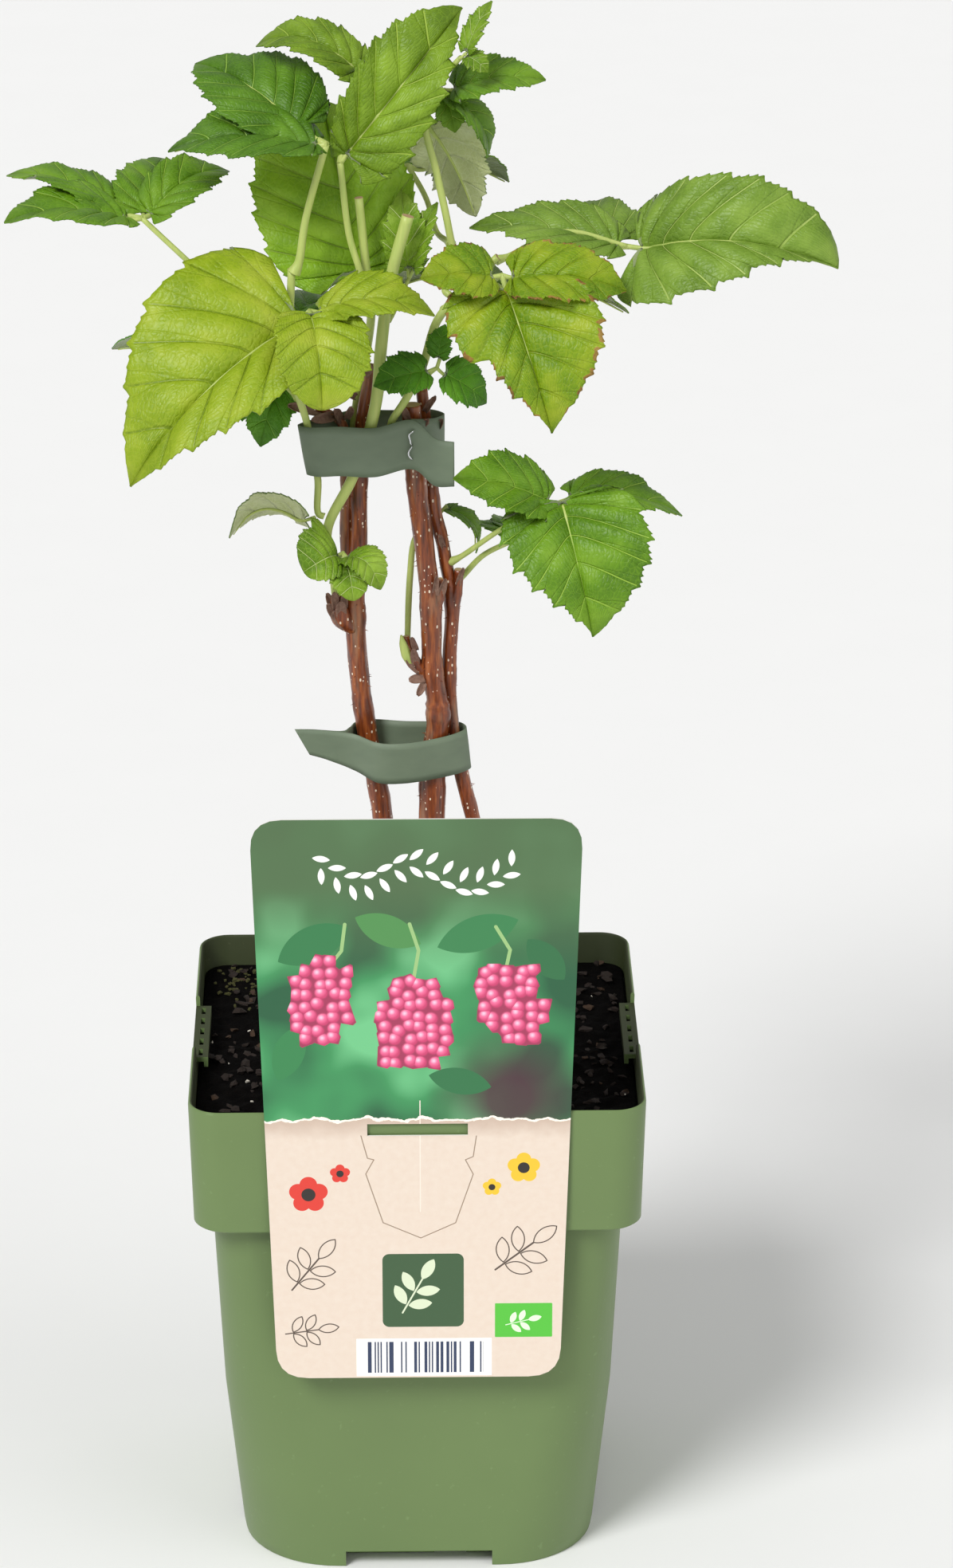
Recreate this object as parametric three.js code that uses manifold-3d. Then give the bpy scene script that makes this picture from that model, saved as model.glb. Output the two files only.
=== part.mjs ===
// A young raspberry in a square nursery pot, with its card label and the two tape ties round its canes.
//
// Frame: the origin is in the middle of the pot's underside, +Z is up and -Y is the side with the label.
// Sizes are in millimetres. The canes stand in the compost, green shoots rise from buds on the canes,
// and every compound leaf is a petiole with its leaflets fused on, held by a cane or a shoot.
import * as THREE from "three";
import { mergeVertices } from "three/addons/utils/BufferGeometryUtils.js";
import Module from "manifold-3d";

const wasm = await Module();
wasm.setup();

// ---------------------------------------------------------------------------------------------------
// Driving sizes
// ---------------------------------------------------------------------------------------------------

const CLEAR = 0.3; // what stays open between two pieces that touch on the real plant

// The pot: a 13 cm square pot whose deep collar stands proud of a tapering body.
const RIM_HALF = 65;
const RIM_HEIGHT = 153;
const COLLAR_FOOT = 115; // height of the collar's lower edge
const COLLAR_FOOT_HALF = 64;
const WALL = 1.2;
const FLOOR_UNDER = 5; // the floor plate's underside
const FLOOR_TOP = FLOOR_UNDER + WALL;
const CORNER_STEPS = 4; // facets on each rounded corner
const FOOT_GAP = { width: 43, height: 5.3 }; // the opening in each side of the foot ring
const RIM_DIP = { width: 37, depth: 3.4 }; // the lowered stretch in the middle of each side of the rim
const LEDGE = { reach: 3.4, thick: 1.4, slots: 5, slotWidth: 4.4, slotDepth: 1.2 };
const SIDES = [0, 1, 2, 3].map((quarter) => (quarter * Math.PI) / 2);

// Body of the pot from the foot up: height, half width across the flats, corner radius.
const BODY_SECTIONS = [
  [0, 51.4, 28],
  [4, 52, 28],
  [20, 53.4, 26],
  [56, 56.4, 20],
  [106, 58.4, 13],
  [COLLAR_FOOT, 58.8, 12.5],
];
const COLLAR_SECTIONS = [
  [COLLAR_FOOT, COLLAR_FOOT_HALF, 10],
  [RIM_HEIGHT, RIM_HALF, 9],
];

const SOIL_TOP = 145;
const SOIL_LUMP = 1.6; // how far the compost rises and dips away from the canes
const SOIL_RINGS = [0.84, 0.62]; // rings of the lumpy top, as shares of its half width

// The card label in front of the collar, a little narrower at its foot.
const CARD = {
  top: 242.3,
  foot: 69.8,
  halfTop: 46.2,
  halfFoot: 40.5,
  corner: 9,
  thick: 0.6,
  back: -RIM_HALF - 0.35,
  slotHalf: 14.2,
  slotFoot: 146.2,
  hookHalf: 12,
  hookEnd: 147.2,
};

const TAPE = { thick: 0.5, upper: 14.4, lower: 12.2 };

const LEAF_THICK = 0.75;
const LEAF_STEPS = 7; // stations along a blade, every other one a tooth
const TOOTH = 0.03; // how far a tooth stands out, as a share of the blade's length
const LOBE = 0.16; // how far the two lobes reach back past the stalk, as a share of the length

const COLOURS = {
  pot: 0x6b8454,
  soil: 0x2a1d17,
  card: 0xe9dcc0,
  tape: 0x5f6f5c,
  steel: 0xc8c8c6,
  bark: 0x7a3f22,
  stem: 0xa4bc62,
  deep: 0x4f7f1e,
  fresh: 0x7fa83a,
  lime: 0x9cb63c,
  grey: 0x8b9c74,
};

// ---------------------------------------------------------------------------------------------------
// Solids
// ---------------------------------------------------------------------------------------------------

function toSolid(geometry) {
  const bare = new THREE.BufferGeometry();
  bare.setAttribute("position", geometry.getAttribute("position"));
  if (geometry.index) bare.setIndex(geometry.index);
  const merged = mergeVertices(bare);
  return new wasm.Manifold(
    new wasm.Mesh({
      numProp: 3,
      vertProperties: new Float32Array(merged.attributes.position.array),
      triVerts: new Uint32Array(merged.index.array),
    }),
  );
}

function toGeometry(solid) {
  const { numProp, vertProperties, triVerts } = solid.getMesh();
  const count = vertProperties.length / numProp;
  const positions = new Float32Array(count * 3);
  for (let i = 0; i < count; i++) {
    positions.set(vertProperties.subarray(i * numProp, i * numProp + 3), i * 3);
  }
  const geometry = new THREE.BufferGeometry();
  geometry.setAttribute("position", new THREE.BufferAttribute(positions, 3));
  geometry.setIndex(new THREE.BufferAttribute(new Uint32Array(triVerts), 1));
  return geometry;
}

const fuse = (geometries) => geometries.map(toSolid).reduce((whole, piece) => whole.add(piece));

const cut = (solid, geometries) =>
  geometries.map(toSolid).reduce((whole, tool) => whole.subtract(tool), solid);

// Moves every vertex of a geometry to where place(x, y, z) says.
function bend(geometry, place) {
  const position = geometry.getAttribute("position");
  for (let i = 0; i < position.count; i++) {
    const moved = place(position.getX(i), position.getY(i), position.getZ(i));
    position.setXYZ(i, moved.x, moved.y, moved.z);
  }
  return geometry;
}

// A box given by its lowest and highest corners.
function block([x0, y0, z0], [x1, y1, z1]) {
  const box = new THREE.BoxGeometry(x1 - x0, y1 - y0, z1 - z0);
  return box.translate((x0 + x1) / 2, (y0 + y1) / 2, (z0 + z1) / 2);
}

// The same geometry on all four sides of the pot.
const onEachSide = (geometry) => SIDES.map((angle) => geometry.clone().rotateZ(angle));

const group = new THREE.Group();

function addNode(name, shape, colour, roughness = 0.6, metalness = 0) {
  const geometry = shape.isBufferGeometry ? shape : toGeometry(shape);
  const flat = geometry.index ? geometry.toNonIndexed() : geometry;
  flat.computeVertexNormals();
  const material = new THREE.MeshStandardMaterial({ color: colour, roughness, metalness });
  const mesh = new THREE.Mesh(flat, material);
  mesh.name = name;
  group.add(mesh);
}

// ---------------------------------------------------------------------------------------------------
// Pot, compost and label
// ---------------------------------------------------------------------------------------------------

// Point number k on a rounded square.
function roundedSquarePoint(k, half, corner) {
  const perCorner = CORNER_STEPS + 1;
  const quarter = Math.floor(k / perCorner) % 4;
  const angle = (quarter + (k % perCorner) / CORNER_STEPS) * (Math.PI / 2);
  const middle = (quarter + 0.5) * (Math.PI / 2);
  const offset = (half - corner) * Math.SQRT2;
  return new THREE.Vector2(
    offset * Math.cos(middle) + corner * Math.cos(angle),
    offset * Math.sin(middle) + corner * Math.sin(angle),
  );
}

// A closed solid through rounded squares, given from the lowest to the highest as [z, half, corner].
function loft(sections, lift = () => 0) {
  const around = 4 * (CORNER_STEPS + 1);
  const geometry = new THREE.CylinderGeometry(1, 1, 1, around, sections.length - 1);
  return bend(geometry, (x, y, z) => {
    const ring = Math.round((y + 0.5) * (sections.length - 1));
    const [height, half, corner] = sections[ring];
    if (Math.hypot(x, z) < 0.5) return new THREE.Vector3(0, 0, height + lift(0, 0, ring));
    const turn = Math.atan2(-z, x) / (2 * Math.PI);
    const k = Math.round((turn + 1) * around) % around;
    const point = roundedSquarePoint(k, half, corner);
    return new THREE.Vector3(point.x, point.y, height + lift(point.x, point.y, ring));
  });
}

const inset = (sections, by) =>
  sections.map(([z, half, corner]) => [z, half - by, Math.max(corner - by, 2)]);

// The space inside the pot's walls, kept clear of them by a gap, from one height up to another.
function inside(gap, from, to) {
  const shelf = COLLAR_FOOT + WALL;
  const body = inset(BODY_SECTIONS, WALL + gap).slice(1, -1);
  const [low, high] = inset(COLLAR_SECTIONS, WALL + gap);
  const [, bodyHalf, bodyCorner] = inset(BODY_SECTIONS, WALL + gap).at(-1);
  return [
    [from, body[0][1], body[0][2]],
    ...body.slice(1),
    [shelf + gap, bodyHalf, bodyCorner],
    [shelf + gap, low[1], low[2]],
    [to, THREE.MathUtils.lerp(low[1], high[1], (to - low[0]) / (high[0] - low[0])), high[2]],
  ];
}

function makePot() {
  const shell = toSolid(loft([...BODY_SECTIONS, ...COLLAR_SECTIONS]));
  const underHalf = BODY_SECTIONS[0][1] - WALL;
  const under = loft([
    [-1, underHalf, BODY_SECTIONS[0][2] - WALL],
    [FLOOR_UNDER, underHalf, BODY_SECTIONS[0][2] - WALL],
  ]);
  const gap = FOOT_GAP.width / 2;
  const gapTool = block([-gap, -RIM_HALF, -1], [gap, WALL - underHalf, FOOT_GAP.height]);
  const dip = RIM_DIP.width / 2;
  const dipHeight = RIM_HEIGHT - RIM_DIP.depth;
  const dipTool = block([-dip, -RIM_HALF - 1, dipHeight], [dip, -RIM_HALF + 3, RIM_HEIGHT + 1]);
  const drains = [1, 3, 5, 7].map((eighth) => {
    const hole = new THREE.CylinderGeometry(4, 4, 8, 8).rotateX(Math.PI / 2);
    return hole.translate(36, 0, FLOOR_UNDER).rotateZ((eighth * Math.PI) / 4);
  });
  const open = cut(shell, [
    loft(inside(0, FLOOR_TOP, RIM_HEIGHT + 1)),
    under,
    ...onEachSide(gapTool),
    ...onEachSide(dipTool),
    ...drains,
  ]);

  // The ledge closes the lowered stretch of the rim, over a pocket with a thin inner wall.
  const wallFace = -RIM_HALF + WALL - 0.5;
  const inner = -RIM_HALF + WALL + LEDGE.reach;
  const ledge = block([-dip, wallFace, dipHeight - LEDGE.thick], [dip, inner, dipHeight]);
  const pocketWall = block([-dip, inner - WALL, SOIL_TOP + SOIL_LUMP], [dip, inner, dipHeight]);
  const slots = Array.from({ length: LEDGE.slots }, (_, i) => {
    const x = (i - (LEDGE.slots - 1) / 2) * (RIM_DIP.width / LEDGE.slots);
    const half = LEDGE.slotWidth / 2;
    const y = inner - WALL - LEDGE.slotDepth - 0.4;
    return block([x - half, y, dipHeight - 3], [x + half, y + LEDGE.slotDepth, dipHeight + 1]);
  });
  const ledges = onEachSide(ledge).concat(onEachSide(pocketWall));

  // Ribs under the floor, set back behind each opening of the foot ring, and the boss in the middle.
  const ribBack = 44;
  const ribs = [
    [-gap + 0.5, 4.5],
    [14, gap - 0.5],
  ].map(([from, to]) => block([from, -ribBack, 0.4], [to, -ribBack + WALL, FLOOR_UNDER + 0.5]));
  const boss = new THREE.CylinderGeometry(7, 7, FLOOR_UNDER + 0.5, 16).rotateX(Math.PI / 2);
  boss.translate(0, 0, (FLOOR_UNDER + 0.5) / 2);
  const additions = [...ledges, ...ribs.flatMap(onEachSide), boss].map(toSolid);
  const whole = additions.reduce((sum, piece) => sum.add(piece), open);
  return cut(whole, slots.flatMap(onEachSide));
}

// Slow waves with no seam stand for the lumps of the compost; they fade out round the canes' feet.
function lump(x, y) {
  const away = THREE.MathUtils.smoothstep(Math.hypot(x - 10, y), 26, 40);
  return SOIL_LUMP * away * Math.sin(x * 0.31 + 1.7 * Math.cos(y * 0.17)) * Math.cos(y * 0.23 - 0.4);
}

function makeSoil() {
  const outline = inside(CLEAR, FLOOR_TOP + CLEAR, SOIL_TOP - 1.5);
  const [, half, corner] = outline.at(-1);
  const rings = SOIL_RINGS.map((share) => [SOIL_TOP, half * share, corner * share]);
  const first = outline.length;
  return loft([...outline, ...rings], (x, y, ring) => (ring < first ? 0 : lump(x, y)));
}

function cardOutline() {
  const { top, foot, halfTop, halfFoot, corner } = CARD;
  const shape = new THREE.Shape();
  shape.moveTo(-halfFoot + corner, foot);
  shape.lineTo(halfFoot - corner, foot);
  shape.quadraticCurveTo(halfFoot, foot, halfFoot + 0.3, foot + corner);
  shape.lineTo(halfTop - 0.3, top - corner);
  shape.quadraticCurveTo(halfTop, top, halfTop - corner, top);
  shape.lineTo(-halfTop + corner, top);
  shape.quadraticCurveTo(-halfTop, top, -halfTop + 0.3, top - corner);
  shape.lineTo(-halfFoot - 0.3, foot + corner);
  shape.quadraticCurveTo(-halfFoot, foot, -halfFoot + corner, foot);
  return shape;
}

// The card hangs in front of the collar: its hook passes over the lowered rim and its ledge.
function makeLabel() {
  const { thick, back, slotHalf, slotFoot, hookHalf, hookEnd } = CARD;
  const under = RIM_HEIGHT - RIM_DIP.depth + CLEAR;
  const card = new THREE.ExtrudeGeometry(cardOutline(), {
    depth: thick,
    bevelEnabled: false,
    curveSegments: 5,
  });
  card.rotateX(Math.PI / 2).translate(0, back, 0);
  const slot = block([-slotHalf, back - 3, slotFoot], [slotHalf, back + 3, under]);
  const inner = -RIM_HALF + WALL + LEDGE.reach + CLEAR;
  const over = block([-hookHalf, back - thick, under], [hookHalf, inner + thick, under + thick]);
  const down = block([-hookHalf, inner, hookEnd], [hookHalf, inner + thick, under + thick]);
  return cut(toSolid(card), [slot]).add(toSolid(over)).add(toSolid(down));
}

// ---------------------------------------------------------------------------------------------------
// Limbs: canes, shoots and petioles
// ---------------------------------------------------------------------------------------------------

// A tapering limb through stations [x, y, z, radius], given from its foot to its tip.
class Limb {
  constructor(stations, sides = 7, stepsPerSpan = 2) {
    this.radii = stations.map((station) => station[3]);
    this.curve = new THREE.CatmullRomCurve3(
      stations.map(([x, y, z]) => new THREE.Vector3(x, y, z)),
    );
    this.sides = sides;
    this.steps = (stations.length - 1) * stepsPerSpan;
  }

  radiusAt(t) {
    const place = t * (this.radii.length - 1);
    const span = Math.min(Math.floor(place), this.radii.length - 2);
    return THREE.MathUtils.lerp(this.radii[span], this.radii[span + 1], place - span);
  }

  // The place along the limb, from 0 to 1, where it first reaches a height.
  reaching(height) {
    let t = 0;
    while (t < 1 && this.curve.getPoint(t).z < height) t += 0.002;
    return Math.min(t, 1);
  }

  // Where a shoot or petiole that heads for a point starts: beside the limb, just clear of its bark.
  bud(height, target, radius) {
    const t = this.reaching(height);
    const centre = this.curve.getPoint(t);
    const along = this.curve.getTangent(t);
    const away = target.clone().sub(centre);
    away.addScaledVector(along, -away.dot(along)).normalize();
    const foot = centre.clone().addScaledVector(away, this.radiusAt(t) + CLEAR);
    return { foot, elbow: foot.clone().addScaledVector(away, radius * 1.6) };
  }

  // A cylinder bent along the curve, its rings carried from one to the next with no twist.
  geometry() {
    const { curve, sides, steps } = this;
    const rings = [];
    let normal = new THREE.Vector3(1, 0, 0);
    for (let i = 0; i <= steps; i++) {
      const along = curve.getTangent(i / steps);
      normal = normal.clone().addScaledVector(along, -normal.dot(along)).normalize();
      const across = new THREE.Vector3().crossVectors(normal, along);
      rings.push({ centre: curve.getPoint(i / steps), normal, across });
    }
    const tube = new THREE.CylinderGeometry(1, 1, 1, sides, steps);
    return bend(tube, (x, y, z) => {
      const i = Math.round((y + 0.5) * steps);
      const { centre, normal: out, across } = rings[i];
      const radius = this.radiusAt(i / steps);
      return centre.clone().addScaledVector(out, x * radius).addScaledVector(across, z * radius);
    });
  }
}

const foot = (x, y, radius) => [
  [x, y, SOIL_TOP + CLEAR, radius * 1.35],
  [x, y, SOIL_TOP + 6, radius * 1.1],
];

// Three canes from one root, drawn together by the ties, and cut back to different heights.
const caneLeft = new Limb([
  ...foot(-5, 5.6, 3),
  [-9.6, 5, 217, 2.9],
  [-13.6, 4.5, 241, 2.8],
  [-15.8, 4, 260, 2.8],
  [-16.8, 3, 281, 2.8],
  [-15.6, 3, 300, 2.6],
  [-15.4, 3, 320, 2.4],
  [-14.2, 3, 336, 1.9],
  [-11.4, 3, 352, 1.5],
]);
const caneLeftTwin = new Limb([
  [-17.2, 3.4, 280, 1.6],
  [-18.7, 3.8, 291, 1.9],
  [-19.1, 3.8, 306, 1.8],
  [-19, 4, 320, 1.6],
  [-19.6, 3, 334, 1.4],
  [-24, 1.4, 338.6, 1.1],
  [-30.6, 0.4, 341, 0.7],
]);
const caneMiddle = new Limb([
  ...foot(4, 0, 3.9),
  [4.9, 0, 217, 3.8],
  [5.2, 0, 235, 3.6],
  [6.9, 0, 248, 3],
  [5.2, 0, 262, 2.9],
  [4.8, 0, 281, 3],
  [3.3, 0.4, 297, 2.8],
  [1, 0.6, 316, 2.8],
  [0, 0.6, 330, 2.8],
  [-0.6, 0.6, 341, 2.6],
]);
const caneRight = new Limb([
  ...foot(22.6, 2, 2.3),
  [19, 2, 204, 2.2],
  [16.2, 2, 218, 2.2],
  [12.6, 2, 233, 2.1],
  [10.5, 3, 248, 2],
  [10.1, 3.4, 262, 2],
  [10.9, 3.4, 280, 2],
  [8.9, 4, 295, 1.9],
  [5.4, 5, 312, 1.9],
  [4.2, 5.8, 328, 1.8],
  [2.4, 6, 344, 1.7],
]);
const spurs = {
  middle: new Limb([[5.4, 0, 281, 2], [7.2, -0.8, 285, 1.5], [7.6, -1.2, 290, 0.8]], 6),
  bud: new Limb(
    [[4.2, 0.6, 260.5, 1.6], [0.2, 0.2, 264, 1.9], [-1.6, 0.4, 268, 1.8], [-2.4, 0.6, 272, 1]],
    6,
  ),
  right: new Limb([[11, 3.2, 280, 1.6], [12.4, 2.6, 285, 1.5], [12.9, 2.4, 291.4, 1.3]], 6),
  left: new Limb(
    [[-17, 2.6, 273.5, 2], [-20.4, 1.2, 277, 2.6], [-21.6, 0.6, 281, 2.4], [-22.2, 0.2, 284.5, 1.6]],
    6,
  ),
};

// A green shoot from a bud on a limb, on through its own stations.
function shootFrom(limb, height, radius, stations, sides = 6) {
  const [x, y, z] = stations[0];
  const { foot: start, elbow } = limb.bud(height, new THREE.Vector3(x, y, z), radius);
  return new Limb(
    [[...start.toArray(), radius], [...elbow.toArray(), radius], ...stations],
    sides,
  );
}

const shootMain = new Limb([
  [-22.4, 0, 284.9, 1.2],
  [-22.9, -1.6, 291, 1.3],
  [-24.3, -4.6, 306, 1.6],
  [-17.4, -4.4, 320.6, 1.8],
  [-12.4, -4.5, 334.4, 1.9],
  [-9.9, -4, 346.3, 2],
  [-8.9, -3, 358.5, 2],
  [-6.2, -2, 377.8, 1.9],
  [-1.2, -2, 396.3, 2],
]);
const shootSide = shootFrom(shootMain, 309, 1.1, [
  [-26.9, -4, 320.7, 1.2],
  [-28.8, -4.5, 330.5, 1.2],
  [-29.8, -5, 337.7, 1.2],
  [-32.5, -6, 348, 1.3],
  [-34.1, -6, 363.5, 1.3],
  [-33.5, -5, 382.2, 1.3],
]);
const stemSlim = shootFrom(caneLeft, 326, 1.2, [
  [-17, 6.8, 331, 1.2],
  [-15.6, 6.8, 342, 1.3],
  [-12.8, 5.4, 356, 1.4],
  [-11.5, 2, 369, 1.4],
  [-12.6, 1, 378, 1.4],
  [-14.8, 0, 401, 1.4],
]);
const shootRight = shootFrom(caneMiddle, 333, 1.2, [
  [-6.4, -3.6, 336, 1.2],
  [-2.1, -4.4, 344, 1.3],
  [2.6, -3, 353, 1.4],
  [6.7, 1, 365, 1.4],
  [12.7, 2, 372.4, 1.4],
  [18.2, 1, 378.4, 1.4],
  [23.8, 0, 383.9, 1.3],
]);
const shootTop = shootFrom(shootRight, 371, 1.2, [
  [11.6, 5, 380, 1.2],
  [10.1, 4, 391, 1.2],
  [6.8, 4, 407, 1.2],
  [3.6, 4, 422, 1.1],
  [6.4, 4, 430.6, 1],
  [9.5, 3.4, 435.2, 0.9],
  [13.4, 1.6, 440, 0.8],
]);
const shootInner = shootFrom(spurs.bud, 267, 1, [
  [-1.8, 3.8, 273, 1],
  [-1.5, 4.8, 281, 1.1],
  [-1, 5.6, 289, 1.1],
  [0.2, 7.4, 298.4, 1],
  [4, 9.4, 304.6, 0.9],
]);

// ---------------------------------------------------------------------------------------------------
// Ties
// ---------------------------------------------------------------------------------------------------

// A tape standing on edge along a route of [x, y, z of its middle, height, lean]; the lean is how far its
// upper edge stands over to +X from its lower one.
function ribbon(route) {
  const steps = (route.length - 1) * 2;
  const curve = new THREE.CatmullRomCurve3(route.map(([x, y, z]) => new THREE.Vector3(x, y, z)));
  const tape = new THREE.BoxGeometry(1, 1, 1, steps, 1, 1);
  const upright = new THREE.Vector3(0, 0, 1);
  return bend(tape, (x, w, h) => {
    const t = Math.round((x + 0.5) * steps) / steps;
    const span = Math.min(Math.floor(t * (route.length - 1)), route.length - 2);
    const rest = t * (route.length - 1) - span;
    const [, , , height0, lean0 = 0] = route[span];
    const [, , , height1, lean1 = 0] = route[span + 1];
    const height = THREE.MathUtils.lerp(height0, height1, rest);
    const across = new THREE.Vector3().crossVectors(upright, curve.getTangent(t)).normalize();
    const point = curve.getPoint(t).addScaledVector(across, w * TAPE.thick);
    point.x += h * THREE.MathUtils.lerp(lean0, lean1, rest);
    return point.addScaledVector(upright, h * height);
  });
}

// Each tie starts at its free end, runs along the front to one side, round the back and on to the place
// where it is fastened to its own front.
const upperTie = ribbon([
  [11.4, -8.8, 326.4, 13],
  [6, -7.6, 326.6, 14],
  [0, -7, 331.6, TAPE.upper],
  [-11, -7.8, 329.6, TAPE.upper],
  [-21, -7.8, 330, TAPE.upper],
  [-28, -7.6, 329.8, TAPE.upper, -2.2],
  [-31.1, -4.9, 329.6, TAPE.upper, -2.4],
  [-28.8, -1.4, 329.6, TAPE.upper, -2.2],
  [-22.6, 5, 329.6, TAPE.upper],
  [-17, 8.8, 329.6, TAPE.upper],
  [-6, 8.8, 329.6, TAPE.upper],
  [4.6, 9.4, 329.6, TAPE.upper],
  [8.6, 6, 329.4, TAPE.upper],
  [7, 0.6, 330, TAPE.upper],
  [3.6, -4, 331, TAPE.upper],
  [-0.6, -6.1, 331.6, TAPE.upper],
]);
const lowerTie = ribbon([
  [-32, -2.8, 241.2, 7.6],
  [-26.4, -2.2, 240, 9],
  [-18, -2.8, 238, 11],
  [-10.8, -7.2, 236.2, TAPE.lower],
  [-3, -7.8, 236.2, TAPE.lower],
  [6, -5.4, 236.6, TAPE.lower],
  [13, -1.9, 237.2, TAPE.lower],
  [15.9, 2.2, 237.4, TAPE.lower],
  [13.4, 6, 237.6, TAPE.lower],
  [7, 6.8, 237.6, TAPE.lower],
  [-3, 7.4, 237.6, TAPE.lower],
  [-12, 8.8, 237.6, TAPE.lower],
  [-17.2, 6.8, 237.6, TAPE.lower],
  [-18.8, 2.4, 238, 11.4],
  [-20.4, -0.8, 238.6, 10.6],
  [-26.4, -1.4, 240, 9],
  [-31, -1.8, 240.8, 8],
]);

// ---------------------------------------------------------------------------------------------------
// Leaves
// ---------------------------------------------------------------------------------------------------

const vector = (numbers) => new THREE.Vector3(...numbers);

// Half the width of a leaflet at a share of its length, where 1 is the widest place.
const heart = (s) => (Math.pow(s, 0.5) * Math.pow(1 - s, 1.1)) / 0.378;

// How far along its length an edge point sits: near the stalk the two lobes reach back.
const lobed = (s) => s - LOBE * Math.sin(Math.PI * Math.min(1, s / 0.4));

// One leaflet: a thin box bent to a stalk from its root to its base and a blade from there to its tip.
// face is the way its upper side looks, bow how far the midrib arches that way, fold how far each half
// rises from the midrib, and skew makes its left half broader than its right.
function leaflet({ root, base, tip, face, width, bow, fold = 0.25, skew = 0 }) {
  const chord = tip.clone().sub(base);
  const length = chord.length();
  const up = face.clone().addScaledVector(chord, -face.dot(chord) / chord.lengthSq()).normalize();
  const middle = base.clone().lerp(tip, 0.5).addScaledVector(up, bow * 2);
  const midrib = new THREE.QuadraticBezierCurve3(base, middle, tip);
  const blade = new THREE.BoxGeometry(1, 2, 1, LEAF_STEPS + 1, 2, 1);
  return bend(blade, (x, v, w) => {
    const station = Math.round((x + 0.5) * (LEAF_STEPS + 1)) - 1;
    const s = Math.max(station / LEAF_STEPS, 0);
    const tooth = station % 2 ? TOOTH : -TOOTH / 2;
    const share = THREE.MathUtils.clamp(v ? lobed(s) : s, -0.1, 1);
    const along = midrib.getTangent(Math.max(share, 0));
    const side = new THREE.Vector3().crossVectors(up, along).normalize();
    const rise = new THREE.Vector3().crossVectors(along, side);
    const half = Math.max(((width / 2) * (1 + v * skew) + tooth * length) * heart(s), 0.5);
    const point = station < 0 ? root.clone() : midrib.getPoint(Math.max(share, 0));
    point.addScaledVector(along, Math.min(share, 0) * length);
    point.addScaledVector(side, v * half * Math.cos(fold));
    return point.addScaledVector(rise, Math.abs(v) * half * Math.sin(fold) + w * LEAF_THICK);
  });
}

// A compound leaf: the petiole from its bud to the joint, and from there a stalk into each leaflet.
function makeLeaf({ on, height, radius = 0.9, via = [], joint, leaflets }) {
  const hub = vector(joint);
  const first = via.length ? vector(via[0]) : hub;
  const { foot: start, elbow } = on.bud(height, first, radius);
  const stations = [start.toArray(), elbow.toArray(), ...via, joint];
  const petiole = new Limb(stations.map((place) => [...place, radius]), 5);
  const pieces = [petiole.geometry()];
  for (const { tip, face, width, stalk = 3, from, bow, ...rest } of leaflets) {
    const end = vector(tip);
    const out = end.clone().sub(hub).normalize();
    const base = from ? vector(from) : hub.clone().addScaledVector(out, stalk);
    const root = hub.clone().addScaledVector(base.clone().sub(hub).normalize(), -0.3);
    const length = base.distanceTo(end);
    const shape = { width: width ?? 0.6 * length, bow: bow ?? 0.1 * length, ...rest };
    pieces.push(leaflet({ root, base, tip: end, face: vector(face), ...shape }));
  }
  return fuse(pieces);
}

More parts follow.
